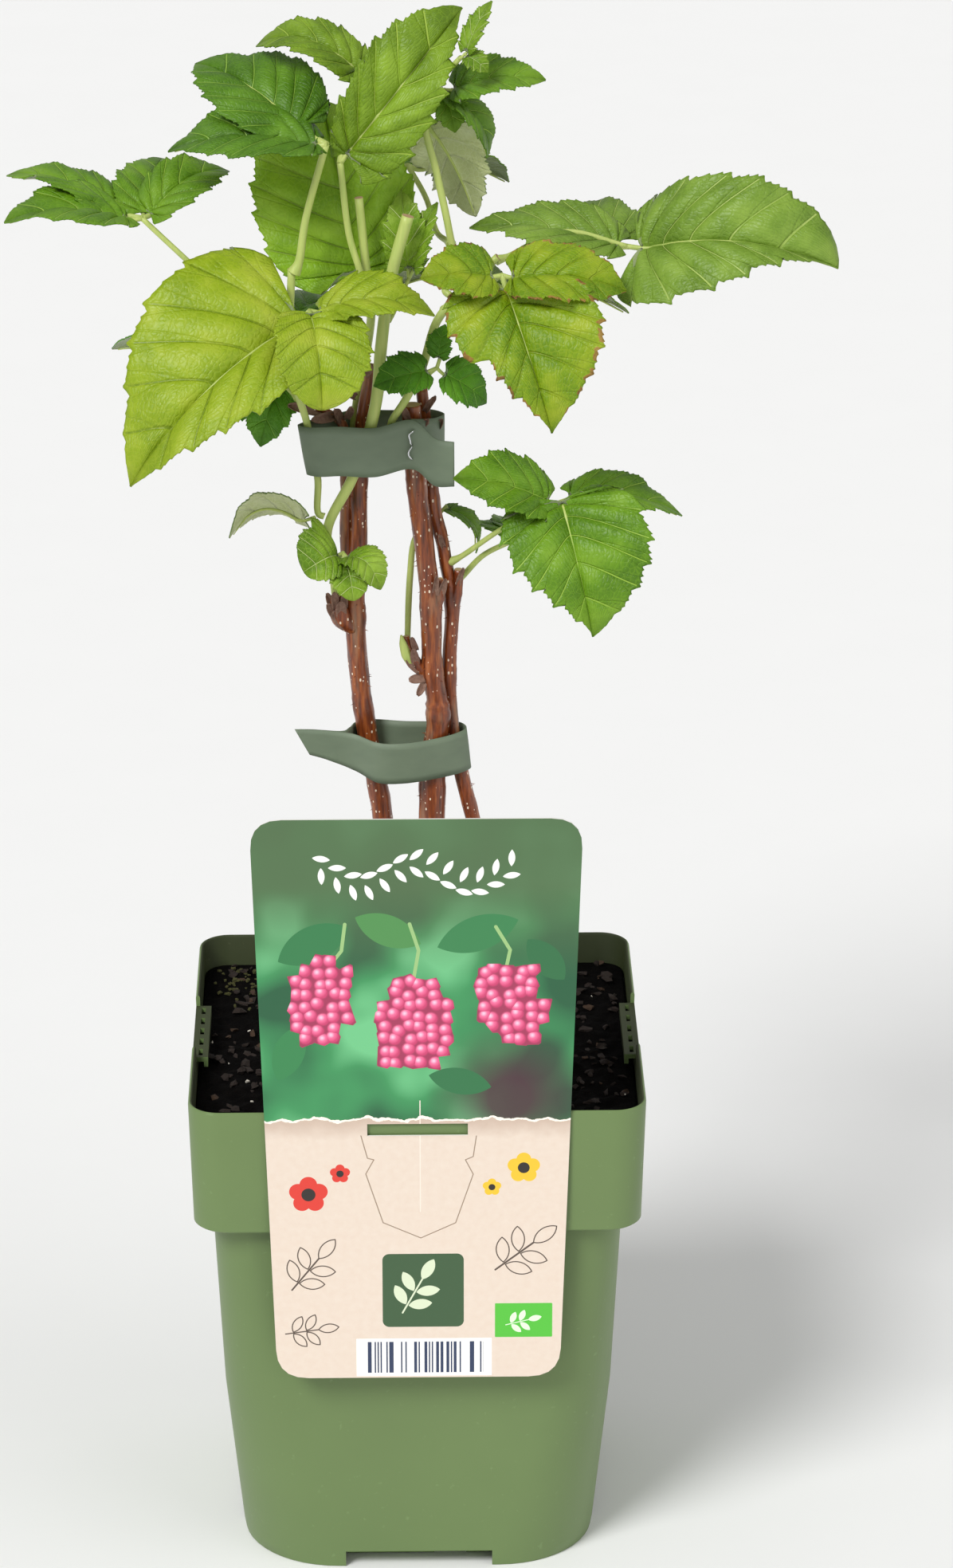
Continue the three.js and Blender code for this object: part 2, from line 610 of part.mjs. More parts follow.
const LEAVES = {
  leaf_crown_left: {
    on: shootSide, height: 381, radius: 1.3, via: [[-29.5, -5, 396]], joint: [-23.6, -6, 417.7],
    colour: COLOURS.deep,
    leaflets: [
      { tip: [-60, 25, 433], face: [-0.1, -0.3, 1], width: 32, stalk: 10 },
      { tip: [-67, -6, 416], face: [0, -0.25, 1], width: 30, bow: 4 },
    ],
  },
  leaf_crown_tall: {
    on: stemSlim, height: 369, radius: 1.2, via: [[-14.5, -2, 380], [-17.5, -2.5, 391]],
    joint: [-19.8, -3.5, 412],
    colour: COLOURS.lime,
    leaflets: [
      { tip: [14, 10, 452], face: [0.1, -0.95, 0.25], width: 25, bow: 4 },
      { tip: [-43, 20, 439], from: [-15, 8, 435], face: [0.3, -0.5, 0.8], width: 18, bow: 7 },
    ],
  },
  leaf_crown_back: {
    on: stemSlim, height: 371, joint: [-14, 8, 375],
    colour: COLOURS.deep,
    leaflets: [
      { tip: [-25, 34, 420], face: [-0.1, -0.8, 0.6], width: 44 },
    ],
  },
  leaf_far_left: {
    on: shootSide, height: 354, radius: 1, via: [[-50, -5, 372]], joint: [-74.7, -2, 396],
    colour: COLOURS.fresh,
    leaflets: [
      { tip: [-112, -13, 398], face: [0, -0.1, 1], width: 30, stalk: 5 },
      { tip: [-51, 18, 404], face: [0.1, -0.25, 1], width: 22 },
      { tip: [-70, 32, 404], face: [0, -0.2, 1], width: 20 },
      { tip: [-113, 18, 403], face: [0, 0, 1], width: 22, stalk: 8 },
    ],
  },
  leaf_broad_left: {
    on: shootSide, height: 366, joint: [-28.5, -15, 373],
    colour: COLOURS.lime,
    leaflets: [
      { tip: [-78, -38, 330], face: [-0.3, -0.75, 0.6], width: 50, stalk: 4, bow: 10, skew: -0.3 },
      { tip: [-25, -38, 350], from: [-29, -22, 373], face: [0.15, -0.9, 0.4], width: 28, bow: 6, skew: 0.2 },
      { tip: [6, -20, 373], face: [0.05, -0.3, 1], width: 22, bow: 5 },
    ],
  },
  leaf_mid_right: {
    on: shootRight, height: 373, radius: 1, joint: [24.6, -12, 382],
    colour: COLOURS.lime,
    leaflets: [
      { tip: [2, -18, 383], face: [-0.2, -0.6, 0.75], width: 19 },
      { tip: [59, -14, 378], face: [0.1, -0.5, 0.85], width: 24 },
      { tip: [38, -33, 343], face: [0, -0.85, 0.5], width: 43, stalk: 4, skew: 0.1 },
    ],
  },
  leaf_far_right: {
    on: shootRight, height: 383, radius: 1, via: [[42, 7, 389]], joint: [60, 6, 385],
    colour: COLOURS.fresh,
    leaflets: [
      { tip: [118, -6, 383], face: [0, -0.75, 0.65], width: 38, stalk: 4, bow: 8 },
      { tip: [17, 12, 393], face: [0, -0.15, 1], width: 22 },
      { tip: [40, 38, 385], face: [0, -0.2, 1], width: 26, stalk: 5 },
    ],
  },
  leaf_low_right: {
    on: caneRight, height: 293, radius: 0.9, via: [[26, -3.2, 306]], joint: [40.5, -8, 314.6],
    colour: COLOURS.fresh,
    leaflets: [
      { tip: [11, -14, 324], face: [-0.1, -0.55, 0.8], width: 22 },
      { tip: [50, -26, 281], face: [0, -0.85, 0.5], width: 41, stalk: 3 },
      { tip: [76, 0, 308], face: [0.1, -0.2, 1], width: 22 },
    ],
  },
  leaf_young_left: {
    on: shootMain, height: 296, radius: 0.8, joint: [-20, -9, 300.4],
    colour: COLOURS.fresh,
    leaflets: [
      { tip: [-31, -17, 296], face: [-0.3, -0.9, 0.3], width: 19, bow: 4, skew: -0.3 },
      { tip: [-17, -20, 290], face: [0.1, -0.8, 0.6], width: 13, bow: 3 },
      { tip: [-9.4, -18, 292.6], face: [0.4, -0.7, 0.6], width: 12, bow: 5 },
    ],
  },
  leaf_pale_left: {
    on: shootMain, height: 304, radius: 0.7, joint: [-28, -6, 310],
    colour: COLOURS.grey,
    leaflets: [
      { tip: [-51, -10, 305], face: [-0.1, 0.7, 0.7], width: 18, bow: 4 },
    ],
  },
  leaf_centre_dark: {
    on: shootRight, height: 350, radius: 0.7, joint: [6.6, -7, 354],
    colour: COLOURS.deep,
    leaflets: [
      { tip: [-11, -11, 350], face: [-0.1, -0.7, 0.7], width: 14 },
      { tip: [9, -5, 366], face: [-0.5, -0.8, 0.1], width: 8 },
      { tip: [23, -2, 349], face: [0.1, -0.6, 0.8], width: 9 },
    ],
  },
  leaf_small_upright: {
    on: shootMain, height: 366, radius: 0.7, joint: [-1, 3, 377],
    colour: COLOURS.fresh,
    leaflets: [
      { tip: [-3, 8, 401], face: [0, -0.9, 0.3], width: 13, fold: 0.35 },
      { tip: [7, 6, 398], face: [-0.5, -0.8, 0.3], width: 9, fold: 0.4 },
    ],
  },
  leaf_behind_left: {
    on: shootSide, height: 345, radius: 0.9, via: [[-35.5, -1, 347.5]], joint: [-36, 6, 350],
    colour: COLOURS.deep,
    leaflets: [
      { tip: [-43, 0, 329], face: [-0.2, -0.7, 0.6], width: 16 },
      { tip: [-60, 6, 331], face: [-0.2, -0.5, 0.8], width: 18 },
      { tip: [-83, 20, 352], face: [-0.1, 0.5, 0.8], width: 23, stalk: 12 },
    ],
  },
  leaf_top_young: {
    on: shootTop, height: 440, radius: 0.5, joint: [14.6, 0.2, 441.4],
    colour: COLOURS.fresh,
    leaflets: [
      { tip: [22, 5, 455], face: [-0.6, -0.6, 0.3], width: 7.5, stalk: 1, bow: 1 },
      { tip: [21, -3, 437], face: [0.2, -0.8, 0.5], width: 6.5, stalk: 1, bow: 1 },
    ],
  },
  leaf_top_right: {
    on: shootTop, height: 427, radius: 0.6, joint: [9, 8.4, 429.4],
    colour: COLOURS.fresh,
    leaflets: [
      { tip: [37, 6, 435], face: [0, -0.4, 0.9], width: 18 },
      { tip: [12, 5, 418], face: [0.2, -0.9, 0.4], width: 10, stalk: 1 },
      { tip: [21, 8, 410], face: [0.5, -0.3, 0.7], width: 14, bow: 4 },
    ],
  },
  leaf_hanging: {
    on: shootTop, height: 415, radius: 0.8, joint: [3.6, 12, 421],
    colour: COLOURS.grey,
    leaflets: [
      { tip: [17, 18, 389], face: [0.2, 0.9, 0.3], width: 24, skew: 0.1 },
    ],
  },
  leaf_curved: {
    on: shootInner, height: 303, radius: 0.7, joint: [9.3, 11, 307.4],
    colour: COLOURS.fresh,
    leaflets: [
      { tip: [18, 12, 293], face: [0.8, -0.2, 0.6], width: 9, stalk: 1, bow: 4 },
    ],
  },
  leaf_back_top: {
    on: shootTop, height: 386, radius: 1, via: [[7, 14, 387], [4, 25, 394]], joint: [-1, 34, 401],
    colour: COLOURS.fresh,
    leaflets: [
      { tip: [-14, 72, 386], face: [-0.2, 0.5, 0.9], width: 36, stalk: 4 },
      { tip: [-37, 47, 395], face: [-0.1, 0.3, 1], width: 22 },
      { tip: [28, 50, 392], face: [0.1, 0.3, 1], width: 24 },
    ],
  },
  leaf_back_left: {
    on: stemSlim, height: 348, radius: 1.1, via: [[-24, 20, 355]], joint: [-34, 30, 359],
    colour: COLOURS.deep,
    leaflets: [
      { tip: [-58, 70, 338], face: [-0.3, 0.6, 0.8], width: 42, stalk: 5 },
      { tip: [-70, 30, 352], face: [-0.2, 0.2, 1], width: 25 },
      { tip: [-14, 60, 351], face: [0.2, 0.4, 0.9], width: 25 },
    ],
  },
  leaf_back_right: {
    on: shootRight, height: 368, radius: 1.1, via: [[16, 14, 370]], joint: [24, 26, 368],
    colour: COLOURS.lime,
    leaflets: [
      { tip: [40, 68, 346], face: [0.3, 0.6, 0.8], width: 40, stalk: 5 },
      { tip: [-6, 52, 360], face: [-0.2, 0.4, 0.9], width: 23 },
      { tip: [62, 36, 357], face: [0.3, 0.3, 0.9], width: 24 },
    ],
  },
  leaf_back_low: {
    on: caneRight, height: 286, radius: 1, via: [[20, 13, 292]], joint: [31, 20, 295],
    colour: COLOURS.fresh,
    leaflets: [
      { tip: [52, 56, 272], face: [0.4, 0.5, 0.8], width: 36, stalk: 4 },
      { tip: [25, 54, 285], face: [-0.1, 0.5, 0.9], width: 22 },
      { tip: [68, 32, 283], face: [0.3, 0.2, 0.9], width: 21 },
    ],
  },
};

for (const [name, { colour, ...leaf }] of Object.entries(LEAVES)) {
  addNode(name, makeLeaf(leaf), colour, 0.55);
}

addNode("pot", makePot(), COLOURS.pot, 0.45);
addNode("soil", makeSoil(), COLOURS.soil, 0.95);
addNode("label_card", makeLabel(), COLOURS.card, 0.35);
addNode(
  "cane_left",
  fuse([caneLeft.geometry(), caneLeftTwin.geometry(), spurs.left.geometry()]),
  COLOURS.bark,
  0.7,
);
addNode(
  "cane_middle",
  fuse([caneMiddle.geometry(), spurs.middle.geometry(), spurs.bud.geometry()]),
  COLOURS.bark,
  0.7,
);
addNode("cane_right", fuse([caneRight.geometry(), spurs.right.geometry()]), COLOURS.bark, 0.7);
addNode("tie_upper", upperTie, COLOURS.tape);
addNode("tie_lower", lowerTie, COLOURS.tape);
addNode("staple", block([-0.6, -7.9, 327.6], [0, -7.55, 336]), COLOURS.steel, 0.3, 1);
addNode("shoot_main", shootMain.geometry(), COLOURS.stem);
addNode("shoot_side", shootSide.geometry(), COLOURS.stem);
addNode("stem_slim", stemSlim.geometry(), COLOURS.stem);
addNode("shoot_right", shootRight.geometry(), COLOURS.stem);
addNode("shoot_top", shootTop.geometry(), COLOURS.stem);
addNode("shoot_inner", shootInner.geometry(), COLOURS.stem);

export default group;
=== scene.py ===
import logging
import math
import random
from dataclasses import dataclass
from enum import Enum, IntEnum
from functools import partial
from typing import Callable, Iterable, Sequence

import bmesh
import bpy
from mathutils import Matrix, Vector, noise


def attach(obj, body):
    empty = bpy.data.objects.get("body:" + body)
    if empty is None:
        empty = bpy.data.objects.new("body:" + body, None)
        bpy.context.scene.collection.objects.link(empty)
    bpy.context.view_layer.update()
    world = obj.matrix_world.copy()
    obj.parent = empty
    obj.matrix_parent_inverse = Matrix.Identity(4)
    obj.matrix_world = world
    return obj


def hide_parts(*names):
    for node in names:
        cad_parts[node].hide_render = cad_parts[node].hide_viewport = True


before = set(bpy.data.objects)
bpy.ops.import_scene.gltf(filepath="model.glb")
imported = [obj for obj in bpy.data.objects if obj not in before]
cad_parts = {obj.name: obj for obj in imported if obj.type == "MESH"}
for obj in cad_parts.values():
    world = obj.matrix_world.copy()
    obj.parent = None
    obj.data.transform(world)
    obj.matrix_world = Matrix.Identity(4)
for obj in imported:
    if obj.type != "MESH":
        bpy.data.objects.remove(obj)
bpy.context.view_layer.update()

LOG = logging.getLogger("potted_raspberry")
MM = 0.001
CLEAR = 0.3  # millimetres left open between two pieces that touch
UP = Vector((0, 0, 1))

Shape = bmesh.types.BMesh
Node = bpy.types.Node
Socket = bpy.types.NodeSocket
Add = Callable[..., Node]
Sockets = dict[str | int, object]
Point = tuple[float, float, float]
Station = tuple[float, float, float, float]


# ----------------------------------------------------------------------------------------------
# Finishes
# ----------------------------------------------------------------------------------------------


def linear(colour: int) -> tuple[float, float, float, float]:
    """Turns an sRGB hex value into the linear colour that a shader takes.

    Args:
        colour: the colour as 0xRRGGBB.

    Returns:
        Red, green, blue and an alpha of one.
    """
    values = [(colour >> shift & 255) / 255 for shift in (16, 8, 0)]
    return (*(v / 12.92 if v <= 0.04045 else ((v + 0.055) / 1.055) ** 2.4 for v in values), 1.0)


def per_mm(size_mm: float) -> float:
    """Returns the texture scale on object coordinates for features of about a size in millimetres."""
    return 1.0 / (size_mm * MM)


def add_node(
    tree: bpy.types.NodeTree, kind: str, inputs: Sockets | None = None, stops: Sequence = (), **settings
) -> Node:
    """Adds a shader node with its settings, its values and its links.

    A Map Range takes its range in at sockets 1 and 2 and its range out at 3 and 4; a colour Mix takes
    its share at 0 and its colours at 6 and 7.

    Args:
        tree: the node tree that takes the node.
        kind: the node's type name after ShaderNode.
        inputs: socket name or number to a value, to a hex colour, or to the node or socket that feeds it.
        stops: places and hex colours of a colour ramp.
        settings: properties of the node.

    Returns:
        The new node.
    """
    node = tree.nodes.new(f"ShaderNode{kind}")
    for name, value in settings.items():
        setattr(node, name, value)
    for name, value in (inputs or {}).items():
        if isinstance(value, Node):
            value = next(output for output in value.outputs if output.enabled)
        if isinstance(value, Socket):
            tree.links.new(value, node.inputs[name])
        else:
            coloured = node.inputs[name].type == "RGBA"
            node.inputs[name].default_value = linear(value) if coloured else value
    if stops:
        elements = node.color_ramp.elements
        while len(elements) < len(stops):
            elements.new(1.0)
        for element, (place, colour) in zip(elements, stops):
            element.position = place
            element.color = linear(colour)
    return node


@dataclass(frozen=True)
class Finish:
    """What a surface is made of and how it looks; each finish makes its material once."""

    name: str

    def material(self) -> bpy.types.Material:
        """Returns the finish's material."""
        found = bpy.data.materials.get(self.name)
        if found:
            return found
        material = bpy.data.materials.new(self.name)
        material.use_nodes = True
        material.node_tree.nodes.clear()
        add = partial(add_node, material.node_tree)
        place = add("TexCoord").outputs["Object"]
        add("OutputMaterial", {"Surface": add("BsdfPrincipled", self.dress(add, place))})
        return material

    def dress(self, add: Add, place: Socket) -> Sockets:
        """Works out what feeds the shader.

        Args:
            add: adds a node to the material.
            place: the object coordinates.

        Returns:
            The shader's sockets, each with its value or its node.
        """
        raise NotImplementedError


@dataclass(frozen=True)
class MouldedPolypropylene(Finish):
    """Injection-moulded polypropylene: satin, faintly orange-peeled, with pale handling scuffs."""

    colour: int = 0x6E8551
    deep: int = 0x647A49
    scuff: int = 0x86A06C
    roughness: float = 0.42

    def dress(self, add: Add, place: Socket) -> Sockets:
        """Returns the shader's sockets."""
        cloud = add("TexNoise", {"Vector": place, "Scale": per_mm(45), "Detail": 3.0})
        base = add("Mix", {0: cloud, 6: self.deep, 7: self.colour}, data_type="RGBA")
        fleck = add("TexNoise", {"Vector": place, "Scale": per_mm(2.2), "Detail": 6.0})
        worn = add("MapRange", {"Value": fleck, 1: 0.66, 2: 0.78, 4: 0.45})
        grain = add("TexNoise", {"Vector": place, "Scale": per_mm(1.1), "Detail": 2.0})
        gloss = {"Value": cloud, 3: self.roughness - 0.06, 4: self.roughness + 0.08}
        return {
            "Base Color": add("Mix", {0: worn, 6: base, 7: self.scuff}, data_type="RGBA"),
            "Roughness": add("MapRange", gloss),
            "IOR": 1.49,
            "Normal": add("Bump", {"Height": grain, "Distance": 0.05 * MM, "Strength": 0.35}),
        }


@dataclass(frozen=True)
class Compost(Finish):
    """Moist peat and composted bark: near black, crumbly, with a few lighter fibres."""

    dark: int = 0x020101
    mid: int = 0x070504
    pale: int = 0x18110B

    def dress(self, add: Add, place: Socket) -> Sockets:
        """Returns the shader's sockets."""
        crumb = add("TexNoise", {"Vector": place, "Scale": per_mm(3), "Detail": 8.0, "Roughness": 0.7})
        stops = ((0.35, self.dark), (0.6, self.mid), (0.78, self.pale))
        return {
            "Base Color": add("ValToRGB", {"Fac": crumb}, stops),
            "Roughness": 0.95,
            "Specular IOR Level": 0.08,
            "Normal": add("Bump", {"Height": crumb, "Distance": 0.8 * MM, "Strength": 0.9}),
        }


@dataclass(frozen=True)
class Grained(Finish):
    """One substance in two tints: a grain of one size, or drawn out along an axis, mottles or streaks it."""

    colour: int = 0xFFFFFF
    other: int = 0xF0F0F0
    roughness: float = 0.8
    grain_mm: float | Point = 1.5
    depth_mm: float = 0.1
    detail: float = 4.0
    strength: float = 0.5

    def dress(self, add: Add, place: Socket) -> Sockets:
        """Returns the shader's sockets."""
        if isinstance(self.grain_mm, tuple):
            place = add("Mapping", {"Vector": place, "Scale": tuple(map(per_mm, self.grain_mm))})
        scale = 1.0 if isinstance(self.grain_mm, tuple) else per_mm(self.grain_mm)
        grain = add("TexNoise", {"Vector": place, "Scale": scale, "Detail": self.detail})
        relief = {"Height": grain, "Distance": self.depth_mm * MM, "Strength": self.strength}
        return {
            "Base Color": add("Mix", {0: grain, 6: self.colour, 7: self.other}, data_type="RGBA"),
            "Roughness": self.roughness,
            "Normal": add("Bump", relief),
        }


@dataclass(frozen=True)
class GreenStem(Grained):
    """Young stem and petiole: pale waxy green with faint lengthwise streaks."""

    colour: int = 0x9DB75A
    other: int = 0xC7CD77
    roughness: float = 0.45
    grain_mm: float | Point = (0.9, 0.9, 16)
    depth_mm: float = 0.15
    detail: float = 3.0
    strength: float = 0.4


@dataclass(frozen=True)
class SoftTape(Grained):
    """Soft vinyl tie tape: matte, dusty grey-green, with a drawn grain along the roll."""

    colour: int = 0x63725D
    other: int = 0x74836B
    roughness: float = 0.58
    grain_mm: float | Point = (7, 7, 3.5)
    depth_mm: float = 0.06


@dataclass(frozen=True)
class CaneBark(Finish):
    """Ripened raspberry bark: thin, glossy and orange-brown, silvery where it flakes.

    Streaks drawn out along the cane and scattered pale pores give the eye its grain.
    """

    dark: int = 0x451D0B
    warm: int = 0x7E3A14
    bright: int = 0xB06226
    silver: int = 0xA88C6E
    pore: int = 0xE8D8C0
    streak_mm: Point = (1.1, 1.1, 9.0)
    pore_mm: Point = (1.1, 1.1, 1.9)

    def dress(self, add: Add, place: Socket) -> Sockets:
        """Returns the shader's sockets."""
        drawn = add("Mapping", {"Vector": place, "Scale": tuple(map(per_mm, self.streak_mm))})
        fibre = add("TexNoise", {"Vector": drawn, "Scale": 1.0, "Detail": 5.0})
        bark = add("ValToRGB", {"Fac": fibre}, ((0.28, self.dark), (0.5, self.warm), (0.76, self.bright)))
        still = {"Vector": drawn, "Scale": 0.3, "Detail": 6.0, "W": 3.0}
        patch = add("TexNoise", still, noise_dimensions="4D")
        flake = add("MapRange", {"Value": patch, 1: 0.54, 2: 0.74, 4: 0.7})
        flaked = add("Mix", {0: flake, 6: bark, 7: self.silver}, data_type="RGBA")
        cells = add("Mapping", {"Vector": place, "Scale": tuple(map(per_mm, self.pore_mm))})
        dots = add("TexVoronoi", {"Vector": cells, "Scale": 1.0})
        chosen = add("SeparateXYZ", {0: dots.outputs["Color"]})
        reach = add("MapRange", {"Value": chosen, 1: 0.3, 4: 0.27})
        pores = add("Math", {0: dots, 1: reach}, operation="LESS_THAN")
        return {
            "Base Color": add("Mix", {0: pores, 6: flaked, 7: self.pore}, data_type="RGBA"),
            "Roughness": add("MapRange", {"Value": patch, 1: 0.4, 2: 0.7, 3: 0.32, 4: 0.6}),
            "Coat Weight": 0.3,
            "Coat Roughness": 0.25,
            "Normal": add("Bump", {"Height": fibre, "Distance": 0.12 * MM, "Strength": 0.5}),
        }


@dataclass(frozen=True)
class LeafFace(Finish):
    """A raspberry leaf's face: soft green that shifts in patches, quilted between its sunken veins.

    The veins fork towards the edge and rungs of finer ones join them, which gives the eye the
    crumpled, netted look that raspberry leaves have.
    """

    colour: int = 0x6F9A2E
    shade: int = 0x557F20
    light: int = 0x9DBB45
    roughness: float = 0.42
    net_mm: float = 1.7
    depth_mm: float = 0.3
    felt: float = 0.0

    def crease(self, add: Add, blade: Node, start: float, lean: float, width: float) -> Node:
        """Draws one family of sunken veins.

        Args:
            add: adds a node to the material.
            blade: the blade's coordinates: one is whole at each main vein, one runs out to the edge.
            start: where a branch leaves its main vein.
            lean: how far it has turned away at the edge.
            width: the crease's half width, as a share of the way to the next vein.

        Returns:
            A height that is 0 in the crease and 1 beside it.
        """
        past = add("Math", {0: blade.outputs[1], 1: start}, operation="SUBTRACT")
        beyond = add("Math", {0: past, 1: 0.0}, operation="MAXIMUM")
        turned = add("Math", {0: beyond, 1: lean, 2: blade}, operation="MULTIPLY_ADD")
        near = add("Math", {0: turned, 1: 0.5}, operation="PINGPONG")
        return add("MapRange", {"Value": near, 2: width}, interpolation_type="SMOOTHSTEP")

    def dress(self, add: Add, place: Socket) -> Sockets:
        """Returns the shader's sockets."""
        patch = add("TexNoise", {"Vector": place, "Scale": per_mm(11), "Detail": 4.0})
        tint = add("ValToRGB", {"Fac": patch}, ((0.34, self.shade), (0.5, self.colour), (0.68, self.light)))
        cells = {"Vector": place, "Scale": per_mm(self.net_mm)}
        net = add("TexVoronoi", cells, feature="DISTANCE_TO_EDGE")
        veinlet = add("MapRange", {"Value": net, 2: 0.09, 3: 0.4, 4: 0.0})
        blade = add("SeparateXYZ", {0: add("UVMap", uv_map="blade")})
        wander = add("TexNoise", {"Vector": place, "Scale": per_mm(3.0)})
        rung = add("Math", {0: wander, 1: 2.2, 2: blade}, operation="MULTIPLY_ADD")
        rung = add("Math", {0: blade.outputs[1], 1: 15.0, 2: rung}, operation="MULTIPLY_ADD")
        rung = add("Math", {0: rung, 1: 0.5}, operation="PINGPONG")
        height = add("MapRange", {"Value": net, 2: 0.3, 4: 0.3})
        layers = (
            (self.crease(add, blade, 0.0, 0.0, 0.06), 0.8),
            (self.crease(add, blade, 0.35, 0.55, 0.045), 0.5),
            (self.crease(add, blade, 0.55, -0.6, 0.04), 0.4),
            (add("MapRange", {"Value": rung, 2: 0.22}), 0.28),
        )
        for layer, share in layers:
            height = add("Math", {0: layer, 1: share, 2: height}, operation="MULTIPLY_ADD")
        return {
            "Base Color": add("Mix", {0: veinlet, 6: tint, 7: self.light}, data_type="RGBA"),
            "Roughness": self.roughness,
            "IOR": 1.42,
            "Specular IOR Level": 0.42,
            "Sheen Weight": self.felt,
            "Sheen Roughness": 0.6,
            "Normal": add("Bump", {"Height": height, "Distance": self.depth_mm * MM, "Strength": 0.9}),
        }


@dataclass(frozen=True)
class WireSteel(Finish):
    """Bright drawn steel wire: faint draw marks along it vary its gloss."""

    colour: int = 0xC9CBCC
    mark_mm: Point = (0.2, 0.2, 4.0)

    def dress(self, add: Add, place: Socket) -> Sockets:
        """Returns the shader's sockets."""
        drawn = add("Mapping", {"Vector": place, "Scale": tuple(map(per_mm, self.mark_mm))})
        mark = add("TexNoise", {"Vector": drawn, "Scale": 1.0})
        rough = add("MapRange", {"Value": mark, 3: 0.18, 4: 0.34})
        return {"Base Color": self.colour, "Metallic": 1.0, "Roughness": rough}


@dataclass(frozen=True)
class Motif:
    """One printed shape: a rounded box about a centre, filled or in outline; sizes in millimetres.

    A half height below zero makes it a pointed leaf. Beads fill it with round fruit, bars with upright
    lines.
    """

    centre: tuple[float, float]
    half: tuple[float, float] = (0.0, 0.0)
    radius: float = 1.0
    turn: float = 0.0
    outline: float = 0.0
    colour: int = 0x000000
    beads: bool = False
    bars: float = 0.0


